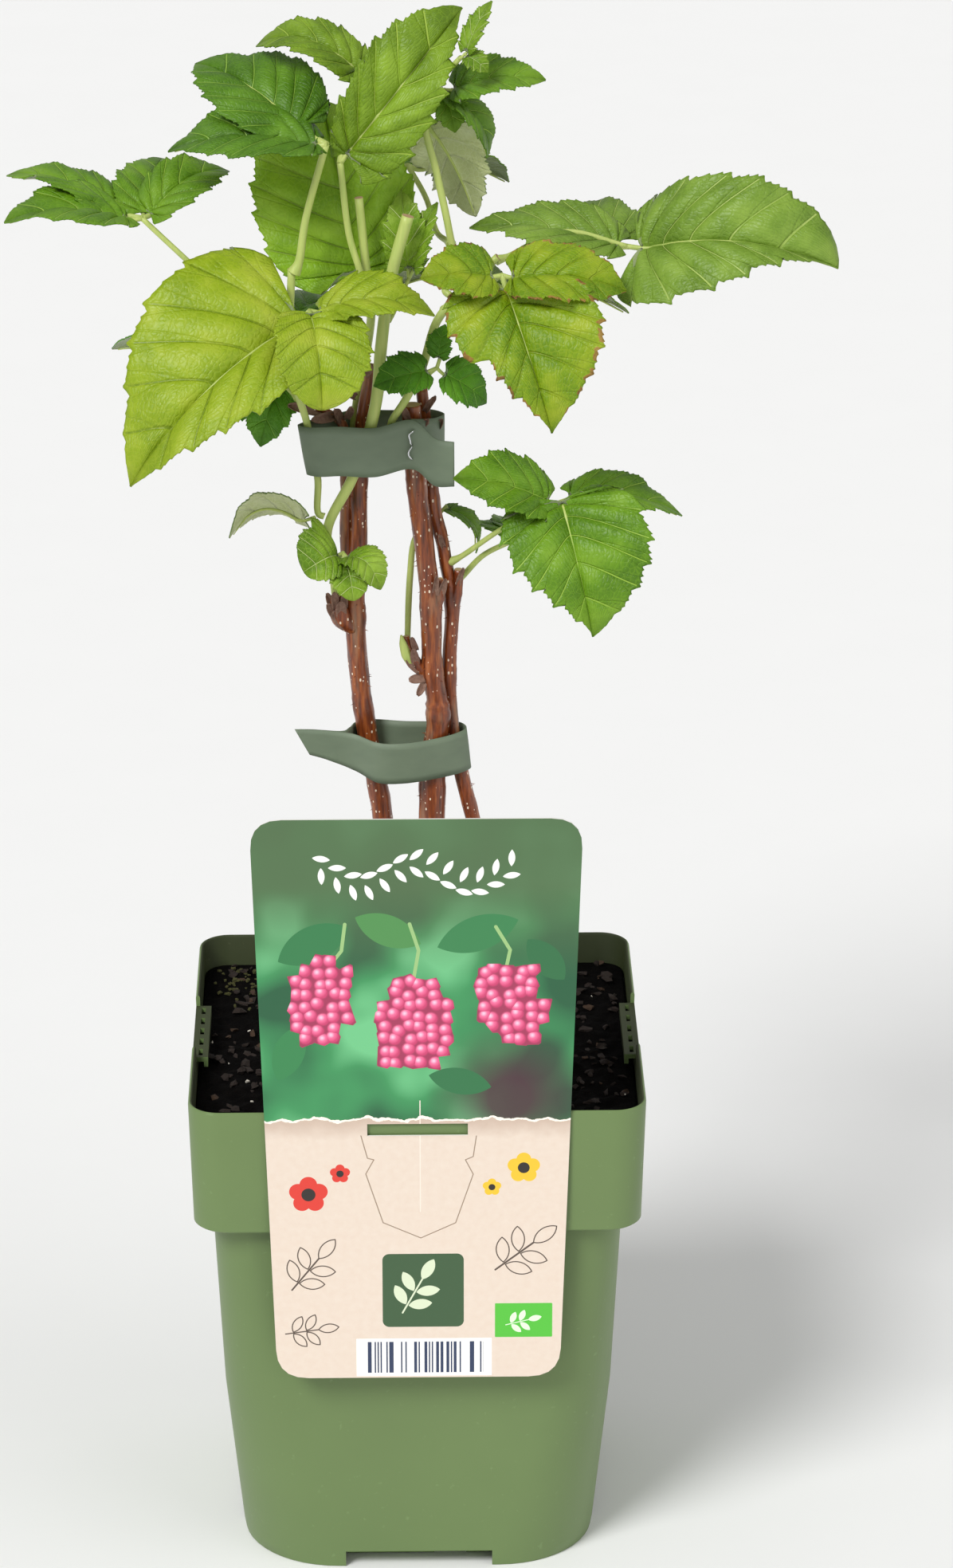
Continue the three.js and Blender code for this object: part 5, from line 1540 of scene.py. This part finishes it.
@dataclass
class NurseryPot:
    """The square pot: a deep collar stands proud of a tapering body on a foot ring with four openings."""

    steps: int = 12
    ledge_reach: float = 3.4
    ledge_thick: float = 1.4
    slots: int = 5
    slot_width: float = 4.4
    slot_depth: float = 1.2
    ring_inner: float = 44.0
    drain_out: float = 36.0
    dark_inside_above: float = 117.0
    plastic: Finish = MouldedPolypropylene("moulded_polypropylene")
    # A darker finish for the faces inside the collar and for its inner ledges.
    darkened: Finish = MouldedPolypropylene("dark_inner_polypropylene", 0x3E4726, 0x2A3316, 0x5C6446, 0.6)

    def profile(self) -> list[tuple[float, float, float]]:
        """Returns height, half width and corner radius from under the floor, round the rim, to the floor."""
        return [
            (FLOOR_UNDER, FOOT_HALF, 26.8), (0.35, FOOT_HALF, 26.8), (0, 50.5, 27.1), (0, 51.1, 27.7),
            (0.35, 51.43, 28), *BODY_SECTIONS[1:-1], (114.3, 58.77, 12.5), (115, 59.4, 12.5),
            (115, 63.5, 9.8), (115.5, 64, 10), (152.2, 64.98, 9), (152.8, 64.75, 8.8), (153, 64.4, 8.4),
            (152.8, 64, 8), (152.3, 63.78, 7.8), (117.2, 62.86, 8.8), (116.2, 61.9, 8.8), (116.2, 57.6, 11.3),
            *((z, half - WALL, corner - WALL) for z, half, corner in reversed(BODY_SECTIONS[2:-1])),
            (6.9, 50.9, 25.9), (6.2, FOOT_HALF, 25.4),
        ]

    def shell(self) -> bpy.types.Mesh:
        """Returns the closed shell as a mesh."""
        profile = self.profile()
        around = 4 * (self.steps + 1)

        def place(i: int, j: int) -> Vector:
            """Returns where a corner lies: i counts around the pot and j along its profile."""
            z, half, corner = profile[j]
            return Vector((*square_point(i % around, half, corner, self.steps), z))

        bm = bmesh.new()
        close(bm, sheet(bm, around, len(profile) - 1, place), 0)
        return to_mesh(bm, "pot_shell")

    def boxes(self, boxes: Sequence[tuple[Point, Point]], drains: bool = False) -> bpy.types.Mesh:
        """Returns boxes between two corners, on each of the four sides, and the bars that bore the drains."""
        bm = bmesh.new()
        for quarter in range(4):
            turn = Matrix.Rotation(quarter * math.pi / 2, 4, "Z")
            for low, high in boxes:
                centre = Vector([(a + b) / 2 for a, b in zip(low, high)]) * MM
                size = Vector([b - a for a, b in zip(low, high)]) * MM
                matrix = Matrix.Translation(centre) @ Matrix.Diagonal((*size, 1))
                verts = bmesh.ops.create_cube(bm, size=1.0, matrix=matrix)["verts"]
                bmesh.ops.transform(bm, matrix=turn, verts=verts)
        for eighth in (1, 3, 5, 7) if drains else ():
            x, y = (self.drain_out * turn(math.pi * eighth / 4) for turn in (math.cos, math.sin))
            add_round(bm, 32, 4, 4, 8, Matrix.Translation(Vector((x, y, FLOOR_UNDER)) * MM))
        return to_mesh(bm, "pot_tool")

    def build(self) -> None:
        """Builds the pot."""
        gap, dip = FOOT_GAP[0] / 2, RIM_DIP[0] / 2
        shelf = RIM_HEIGHT - RIM_DIP[1]
        inner = -RIM_HALF + WALL + self.ledge_reach
        rib = -self.ring_inner
        openings = [
            ((-gap, -RIM_HALF, -1), (gap, WALL - FOOT_HALF, FOOT_GAP[1])),
            ((-dip, -RIM_HALF - 1, shelf), (dip, -RIM_HALF + 3, RIM_HEIGHT + 1)),
        ]
        mesh = combine(self.shell(), self.boxes(openings, drains=True), "DIFFERENCE")
        bars = [
            ((-dip, -RIM_HALF + WALL - 0.5, shelf - self.ledge_thick), (dip, inner, shelf)),
            ((-dip, inner - WALL, SOIL_TOP + 1.6), (dip, inner, shelf - 0.01)),
            ((-gap + 0.5, rib, 0.4), (4.5, rib + WALL, FLOOR_UNDER + 0.5)),
            ((14, rib, 0.4), (gap - 0.5, rib + WALL, FLOOR_UNDER + 0.5)),
        ]
        mesh = combine(mesh, self.boxes(bars), "UNION")
        pitch = RIM_DIP[0] / self.slots
        deep = inner - WALL - self.slot_depth - 0.4
        wide = self.slot_width / 2
        slots = [
            ((x - wide, deep, shelf - 3), (x + wide, deep + self.slot_depth, shelf + 1))
            for x in ((k - (self.slots - 1) / 2) * pitch for k in range(self.slots))
        ]
        mesh = combine(mesh, self.boxes(slots), "DIFFERENCE")
        bm = bmesh.new()
        bm.from_mesh(mesh)
        turned_over = Matrix.Rotation(math.pi, 4, "X")
        add_round(bm, 32, 7, 6.6, 5.2, Matrix.Translation(Vector((0, 0, 2.9)) * MM) @ turned_over)
        # Faces that look inwards above 117 mm, and the ledges that face up there, take the darker second
        # finish.
        for face in bm.faces:
            middle = face.calc_center_median() / MM
            level = Vector((middle.x, middle.y, 0))
            inward = face.normal.dot(level) < -0.3 * level.length and middle.z > self.dark_inside_above
            ledge = face.normal.z > 0.7 and self.dark_inside_above < middle.z < RIM_HEIGHT - 2.5
            face.material_index = int(inward or ledge)
        pot = finish_piece(bm, "pot_moulding", (self.plastic, self.darkened), "pot")
        pot.data.shade_smooth()
        pot.data.set_sharp_from_angle(angle=math.radians(32))


@dataclass
class Litter:
    """A kind of crumb that is strewn over the compost: name, count, least and most size, flatness."""

    name: str
    count: int
    size: tuple[float, float]
    flat: float
    finish: Finish


@dataclass
class SoilBed:
    """The compost: a crumbly top, closed sides that follow the pot, and bark and perlite strewn on it."""

    cells: int = 120
    half: float = 63.2
    corner: float = 7.2
    compost: Finish = Compost("moist_compost")
    litter: tuple[Litter, ...] = (
        Litter(
            "bark_chips", 420, (1.4, 4.6), 0.4,
            Grained("composted_bark", 0x130C08, 0x281A11, 0.9, 1.2, 0.2),
        ),
        Litter(
            "wood_slivers", 60, (1.2, 4), 0.35,
            Grained("pale_wood_fibre", 0x4A3422, 0x2A1D13, 0.9, 1, 0.2),
        ),
        Litter(
            "perlite", 22, (0.7, 1.7), 0.9,
            Grained("expanded_perlite", 0xD9D4C8, 0xBDB6A8, 0.95, 0.5, 0.2),
        ),
        Litter("moss_tufts", 70, (0.8, 2.2), 0.8, Grained("moss", 0x2E3814, 0x4C4420, 0.95, 0.6, 0.2)),
    )
    # Height, half width and corner radius down the sides.
    sections: tuple[Point, ...] = (
        (117, 62.2, 8.3), (116.6, 57, 10.7), (106, 56.8, 11.4), (56, 54.8, 18.4), (20, 51.8, 24.4),
        (6.5, 49.9, 25),
    )

    def spread(self, a: float, b: float, half: float, corner: float) -> tuple[float, float]:
        """Maps a point of the unit square onto a rounded square."""
        x, y = a * half, b * half
        core = half - corner
        dx, dy = abs(x) - core, abs(y) - core
        if dx > 0 and dy > 0:
            scale = max(dx, dy) / math.hypot(dx, dy)
            x = math.copysign(core + dx * scale, x)
            y = math.copysign(core + dy * scale, y)
        return x, y

    def height(self, x: float, y: float) -> float:
        """Returns the height of the compost at a place."""
        away = min(max((math.hypot(x - 10, y) - 14) / 20, 0.0), 1.0)
        swell, crumb, grit = (
            size * noise.noise(Vector((x * pace, y * pace, level)))
            for size, pace, level in ((2.2, 0.045, 3.0), (1.5, 0.22, 9.0), (0.7, 0.7, 1.0))
        )
        return SOIL_TOP - 0.4 + away * swell + (crumb + grit) * (0.35 + 0.65 * away)

    def build(self) -> None:
        """Builds the bed and everything strewn on it."""
        self.build_bed()
        chance = random.Random(7)
        for litter in self.litter:
            self.strew(litter, chance)

    def build_bed(self) -> None:
        """Builds the compost itself."""

        def square(i: int, j: int) -> tuple[float, float]:
            """Returns a corner's place on the unit square."""
            return 2 * i / self.cells - 1, 2 * j / self.cells - 1

        def place(i: int, j: int) -> Vector:
            """Returns where a corner of the top lies."""
            a, b = square(i, j)
            x, y = self.spread(a, b, self.half, self.corner)
            edge = max(abs(a), abs(b)) ** 12
            return Vector((x, y, self.height(x, y) * (1 - edge) + (SOIL_TOP - 1.5) * edge))

        bm = bmesh.new()
        numbers = sheet(bm, self.cells, self.cells, place)
        squares = {vert: square(i, j) for vert, (i, j) in numbers.items()}
        rim = [edge for edge in bm.edges if edge.is_boundary]
        for z, half, corner in self.sections:
            made = bmesh.ops.extrude_edge_only(bm, edges=rim)["geom"]
            rim = [item for item in made if isinstance(item, bmesh.types.BMEdge) and item.is_boundary]
            for vert in dict.fromkeys(vert for edge in rim for vert in edge.verts):
                others = (edge.other_vert(vert) for edge in vert.link_edges)
                squares[vert] = squares[next(other for other in others if other in squares)]
                vert.co = Vector((*self.spread(*squares[vert], half, corner), z)) * MM
        bmesh.ops.holes_fill(bm, edges=rim, sides=0)
        bmesh.ops.recalc_face_normals(bm, faces=bm.faces)
        for face in bm.faces:
            face.smooth = len(face.verts) == 4
        finish_piece(bm, "compost_bed", (self.compost,), "soil")

    def strew(self, litter: Litter, chance: random.Random) -> None:
        """Strews one kind of crumb over the bed.

        Args:
            litter: what is strewn.
            chance: the source of its places and shapes.
        """
        bm = bmesh.new()
        for _ in range(litter.count):
            if litter.name == "moss_tufts":
                x, y = chance.gauss(-52, 5), chance.gauss(48, 7)
            else:
                x, y = chance.uniform(-60, 60), chance.uniform(-60, 60)
            if max(abs(x), abs(y)) > 60.5:
                continue
            size = chance.uniform(*litter.size)
            turn = Matrix.Rotation(chance.uniform(0, 6.28), 4, "Z")
            tilt = Matrix.Rotation(chance.gauss(0, 0.4), 4, "X")
            broad, thick = size * chance.uniform(0.2, 0.4), size * 0.4 * litter.flat
            shape = Matrix.Diagonal((size * 0.5, broad, thick, 1))
            spot = Matrix.Translation(Vector((x, y, self.height(x, y) + size * 0.08)) * MM)
            matrix = spot @ (turn @ tilt) @ shape @ Matrix.Scale(MM, 4)
            for vert in bmesh.ops.create_icosphere(bm, subdivisions=1, radius=1.0, matrix=matrix)["verts"]:
                vert.co += Vector([chance.uniform(-0.12, 0.12) for _ in range(3)]) * size * MM
        finish_piece(bm, litter.name, (litter.finish,), "soil")


# ----------------------------------------------------------------------------------------------
# Label
# ----------------------------------------------------------------------------------------------


class Ink(IntEnum):
    """The card's inks that print more than one motif."""

    STALK = 0x9CC27E
    CUT = 0x9A8470
    EYE = 0x2A2420
    POPPY = 0xDE3B2E
    BUTTERCUP = 0xF0C52E
    PENCIL = 0x5A4C42


def strokes(*points: tuple[float, float], width: float, colour: int) -> list[Motif]:
    """Returns a printed line through points as one thin motif a stretch."""
    lines = []
    for (x0, z0), (x1, z1) in zip(points, points[1:]):
        turn = math.degrees(math.atan2(z1 - z0, x1 - x0))
        middle = ((x0 + x1) / 2, (z0 + z1) / 2)
        lines.append(Motif(middle, (math.hypot(x1 - x0, z1 - z0) / 2, 0), width / 2, turn, colour=colour))
    return lines


def pointed(
    x: float, z: float, long: float, wide: float, turn: float, colour: int, outline: float = 0.0
) -> Motif:
    """Returns a pointed leaf about a centre, by its half length and half width."""
    reach = long * long / wide
    return Motif((x, z), (0, (wide - reach) / 2), (reach + wide) / 2, turn, outline, colour)


def flower(x: float, z: float, petal: float, colour: int) -> list[Motif]:
    """Returns five round petals about a dark eye."""
    petals = []
    for turn in (math.radians(72 * k + 18) for k in range(5)):
        spot = (x + petal * 1.25 * math.cos(turn), z + petal * 1.25 * math.sin(turn))
        petals.append(Motif(spot, radius=petal, colour=colour))
    return [*petals, Motif((x, z), radius=petal * 0.8, colour=Ink.EYE)]


def sprig(x: float, z: float, turn: float, size: float, colour: int, outline: float = 0.0) -> list[Motif]:
    """Returns a stalk with a leaf at its tip and two pairs of leaves."""
    way = Vector((math.cos(math.radians(turn)), math.sin(math.radians(turn))))
    side = Vector((-way.y, way.x))
    root = Vector((x, z))
    tip = root + way * size * 3
    made = strokes(tuple(root), tuple(tip), width=max(outline, size * 0.12), colour=colour)
    made.append(pointed(*(tip + way * size * 0.9), size * 0.9, size * 0.42, turn, colour, outline))
    for step in (1.2, 2.4):
        for hand in (-1, 1):
            spot = root + way * size * step + side * hand * size * 0.8
            made.append(pointed(*spot, size * 0.85, size * 0.4, turn + 55 * hand, colour, outline))
    return made


def card_motifs() -> tuple[Motif, ...]:
    """Returns the generic print of the card, from the lowest layer to the highest."""
    leaves = [
        pointed(-29, 205, 11, 5.4, 28, 0x2F7A46), pointed(-8, 209, 10, 4.6, -24, 0x4E8E4C),
        pointed(17, 208, 12, 5.2, 20, 0x35804A), pointed(36, 200, 8, 4.2, -50, 0x2B6D40),
        pointed(-36, 172, 9, 4.4, 70, 0x33834B), pointed(12, 163, 9, 4, -12, 0x2C7243),
    ]
    stalks = [
        *strokes((-20, 211), (-21, 203), (-24, 199), width=1, colour=Ink.STALK),
        *strokes((-2, 211), (0.5, 203), (-1, 194), width=1, colour=Ink.STALK),
        *strokes((22, 210), (26, 203), (25, 198), width=1, colour=Ink.STALK),
    ]
    bunches = [
        Motif((-27, 188), (0, 4), 8.6, -10, beads=True), Motif((-1, 180), (0, 5), 9.8, beads=True),
        Motif((27, 187), (0, 4), 8.8, 10, beads=True),
    ]
    garland = [
        pointed(4.4 * k, 226 + 3.2 * math.cos(k * 0.9) + 2.6 * hand, 2.5, 0.95, 40 * hand + 8 * k, 0xF4F6F0)
        for k in range(-6, 7) for hand in (-1, 1)
    ]
    cut = strokes(
        (-16, 146.3), (-14.2, 139.3), (-12.4, 138.8), (-14.7, 134.4), (-9.9, 119.1), (0.8, 114.2),
        (10.7, 118.9), (15.7, 134.1), (13.5, 138.6), (15.7, 139.6), (16.6, 146), width=0.3, colour=Ink.CUT,
    )
    crease = strokes((0.7, 157), (0.7, 122.5), width=0.3, colour=0xF3E6D8)
    drawn = [
        *flower(-31, 128, 2.5, Ink.POPPY), *flower(-22, 134.5, 1.3, Ink.POPPY),
        *flower(30, 136, 2.1, Ink.BUTTERCUP), *flower(21, 130, 1.2, Ink.BUTTERCUP),
        *sprig(-36, 98, 52, 4.2, Ink.PENCIL, 0.35), *sprig(22, 104, 38, 4.6, Ink.PENCIL, 0.35),
        *sprig(-38, 84, 8, 3.2, Ink.PENCIL, 0.35),
    ]
    panel = [
        Motif((1.4, 97.6), (9.6, 9.6), 2, colour=0x3B5A38), *sprig(-4.5, 90.5, 62, 4, 0xDDE8C8),
        Motif((30.1, 87.9), (7.9, 5.1), 0.3, colour=0x55C23A), *sprig(25, 86.4, 14, 2.2, 0xE6F8DA),
        Motif((1.6, 76.3), (19.2, 5.8), 0.2, colour=0xFBFAF7),
        Motif((2, 76.3), (16.5, 4.9), 0.05, colour=0x2C3A5A, bars=0.42),
    ]
    return (*leaves, *stalks, *bunches, *garland, *cut, *crease, *drawn, *panel)


@dataclass
class CardLabel:
    """The card that hangs on the front of the collar by its hook."""

    card: Finish = PrintedCard("coated_printed_card", motifs=card_motifs())

    def build(self) -> None:
        """Gives the card its print."""
        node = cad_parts["label_card"]
        node.data.materials.clear()
        node.data.materials.append(self.card.material())
        LOG.info("label_card: dressed")


# ----------------------------------------------------------------------------------------------
# Studio
# ----------------------------------------------------------------------------------------------


@dataclass
class Studio:
    """A pale floor, soft light from above and both sides, and the camera in front."""

    floor_half: float = 24000.0
    backdrop: Finish = Grained("matte_backdrop", 0xF4F4F3, 0xF2F2F1, 0.9, 40, 0.01)
    eye: Point = (-7.91, -1464.5, 800.0)
    dip: float = 0.373
    yaw: float = 0.01754
    lens: float = 125.39
    sensor: float = 36.0

    def build(self) -> None:
        """Builds the stage."""
        self.build_floor()
        self.build_lights()
        self.build_camera()

    def build_floor(self) -> None:
        """Lays the floor."""
        bm = bmesh.new()
        bmesh.ops.create_grid(bm, x_segments=1, y_segments=1, size=self.floor_half * MM)
        floor = put("floor", to_mesh(bm, "floor"))
        floor.data.materials.append(self.backdrop.material())

    def light(self, name: str, place: Point, spread: float, power: float) -> None:
        """Sets one far, wide light that falls evenly on the part and the floor.

        Args:
            name: its name.
            place: where it stands as seen from the part.
            spread: how wide it looks from there, in degrees.
            power: its strength.
        """
        data = bpy.data.lights.new(name, "SUN")
        data.angle = math.radians(spread)
        data.energy = power
        lamp = put(name, data)
        lamp.location = Vector(place)
        lamp.rotation_euler = Vector(place).to_track_quat("Z", "Y").to_euler()

    def build_lights(self) -> None:
        """Sets the lights and the pale surround."""
        self.light("key", (-1.6, -2.2, 2.6), 22, 2.3)
        self.light("fill", (2.4, -1.6, 1.6), 50, 0.6)
        world = bpy.data.worlds.new("pale_surround")
        world.use_nodes = True
        surround = world.node_tree.nodes["Background"].inputs
        surround["Color"].default_value = linear(0xFAFAFA)
        surround["Strength"].default_value = 0.45
        bpy.context.scene.world = world
        bpy.context.scene.view_settings.view_transform = "Standard"

    def build_camera(self) -> None:
        """Sets up the camera."""
        theta, phi = self.dip, self.yaw
        ahead = Vector((math.sin(phi) * math.cos(theta), math.cos(phi) * math.cos(theta), -math.sin(theta)))
        right = Vector((math.cos(phi), -math.sin(phi), 0))
        turned = Matrix((right, right.cross(ahead), -ahead)).transposed().to_4x4()
        data = bpy.data.cameras.new("camera")
        data.lens = self.lens
        data.sensor_width = self.sensor
        data.clip_end = 50
        camera = put("camera", data)
        camera.matrix_world = Matrix.Translation(Vector(self.eye) * MM) @ turned
        bpy.context.scene.camera = camera


def main() -> None:
    """Builds the part and its stage, and logs how many faces each built piece has."""
    logging.basicConfig(level=logging.INFO, format="%(name)s %(message)s")
    Studio().build()
    limbs = grow_limbs()
    NurseryPot().build()
    SoilBed().build()
    CardLabel().build()
    Canes().build(limbs)
    Shoots().build(limbs)
    TapeTie("tie_upper", UPPER_TIE).build()
    TapeTie("tie_lower", LOWER_TIE).build()
    Staple().build()
    for name, leaf in LEAVES.items():
        leaf.build(name, limbs[leaf.on])
    bpy.context.view_layer.update()


if __name__ == "__main__":
    main()
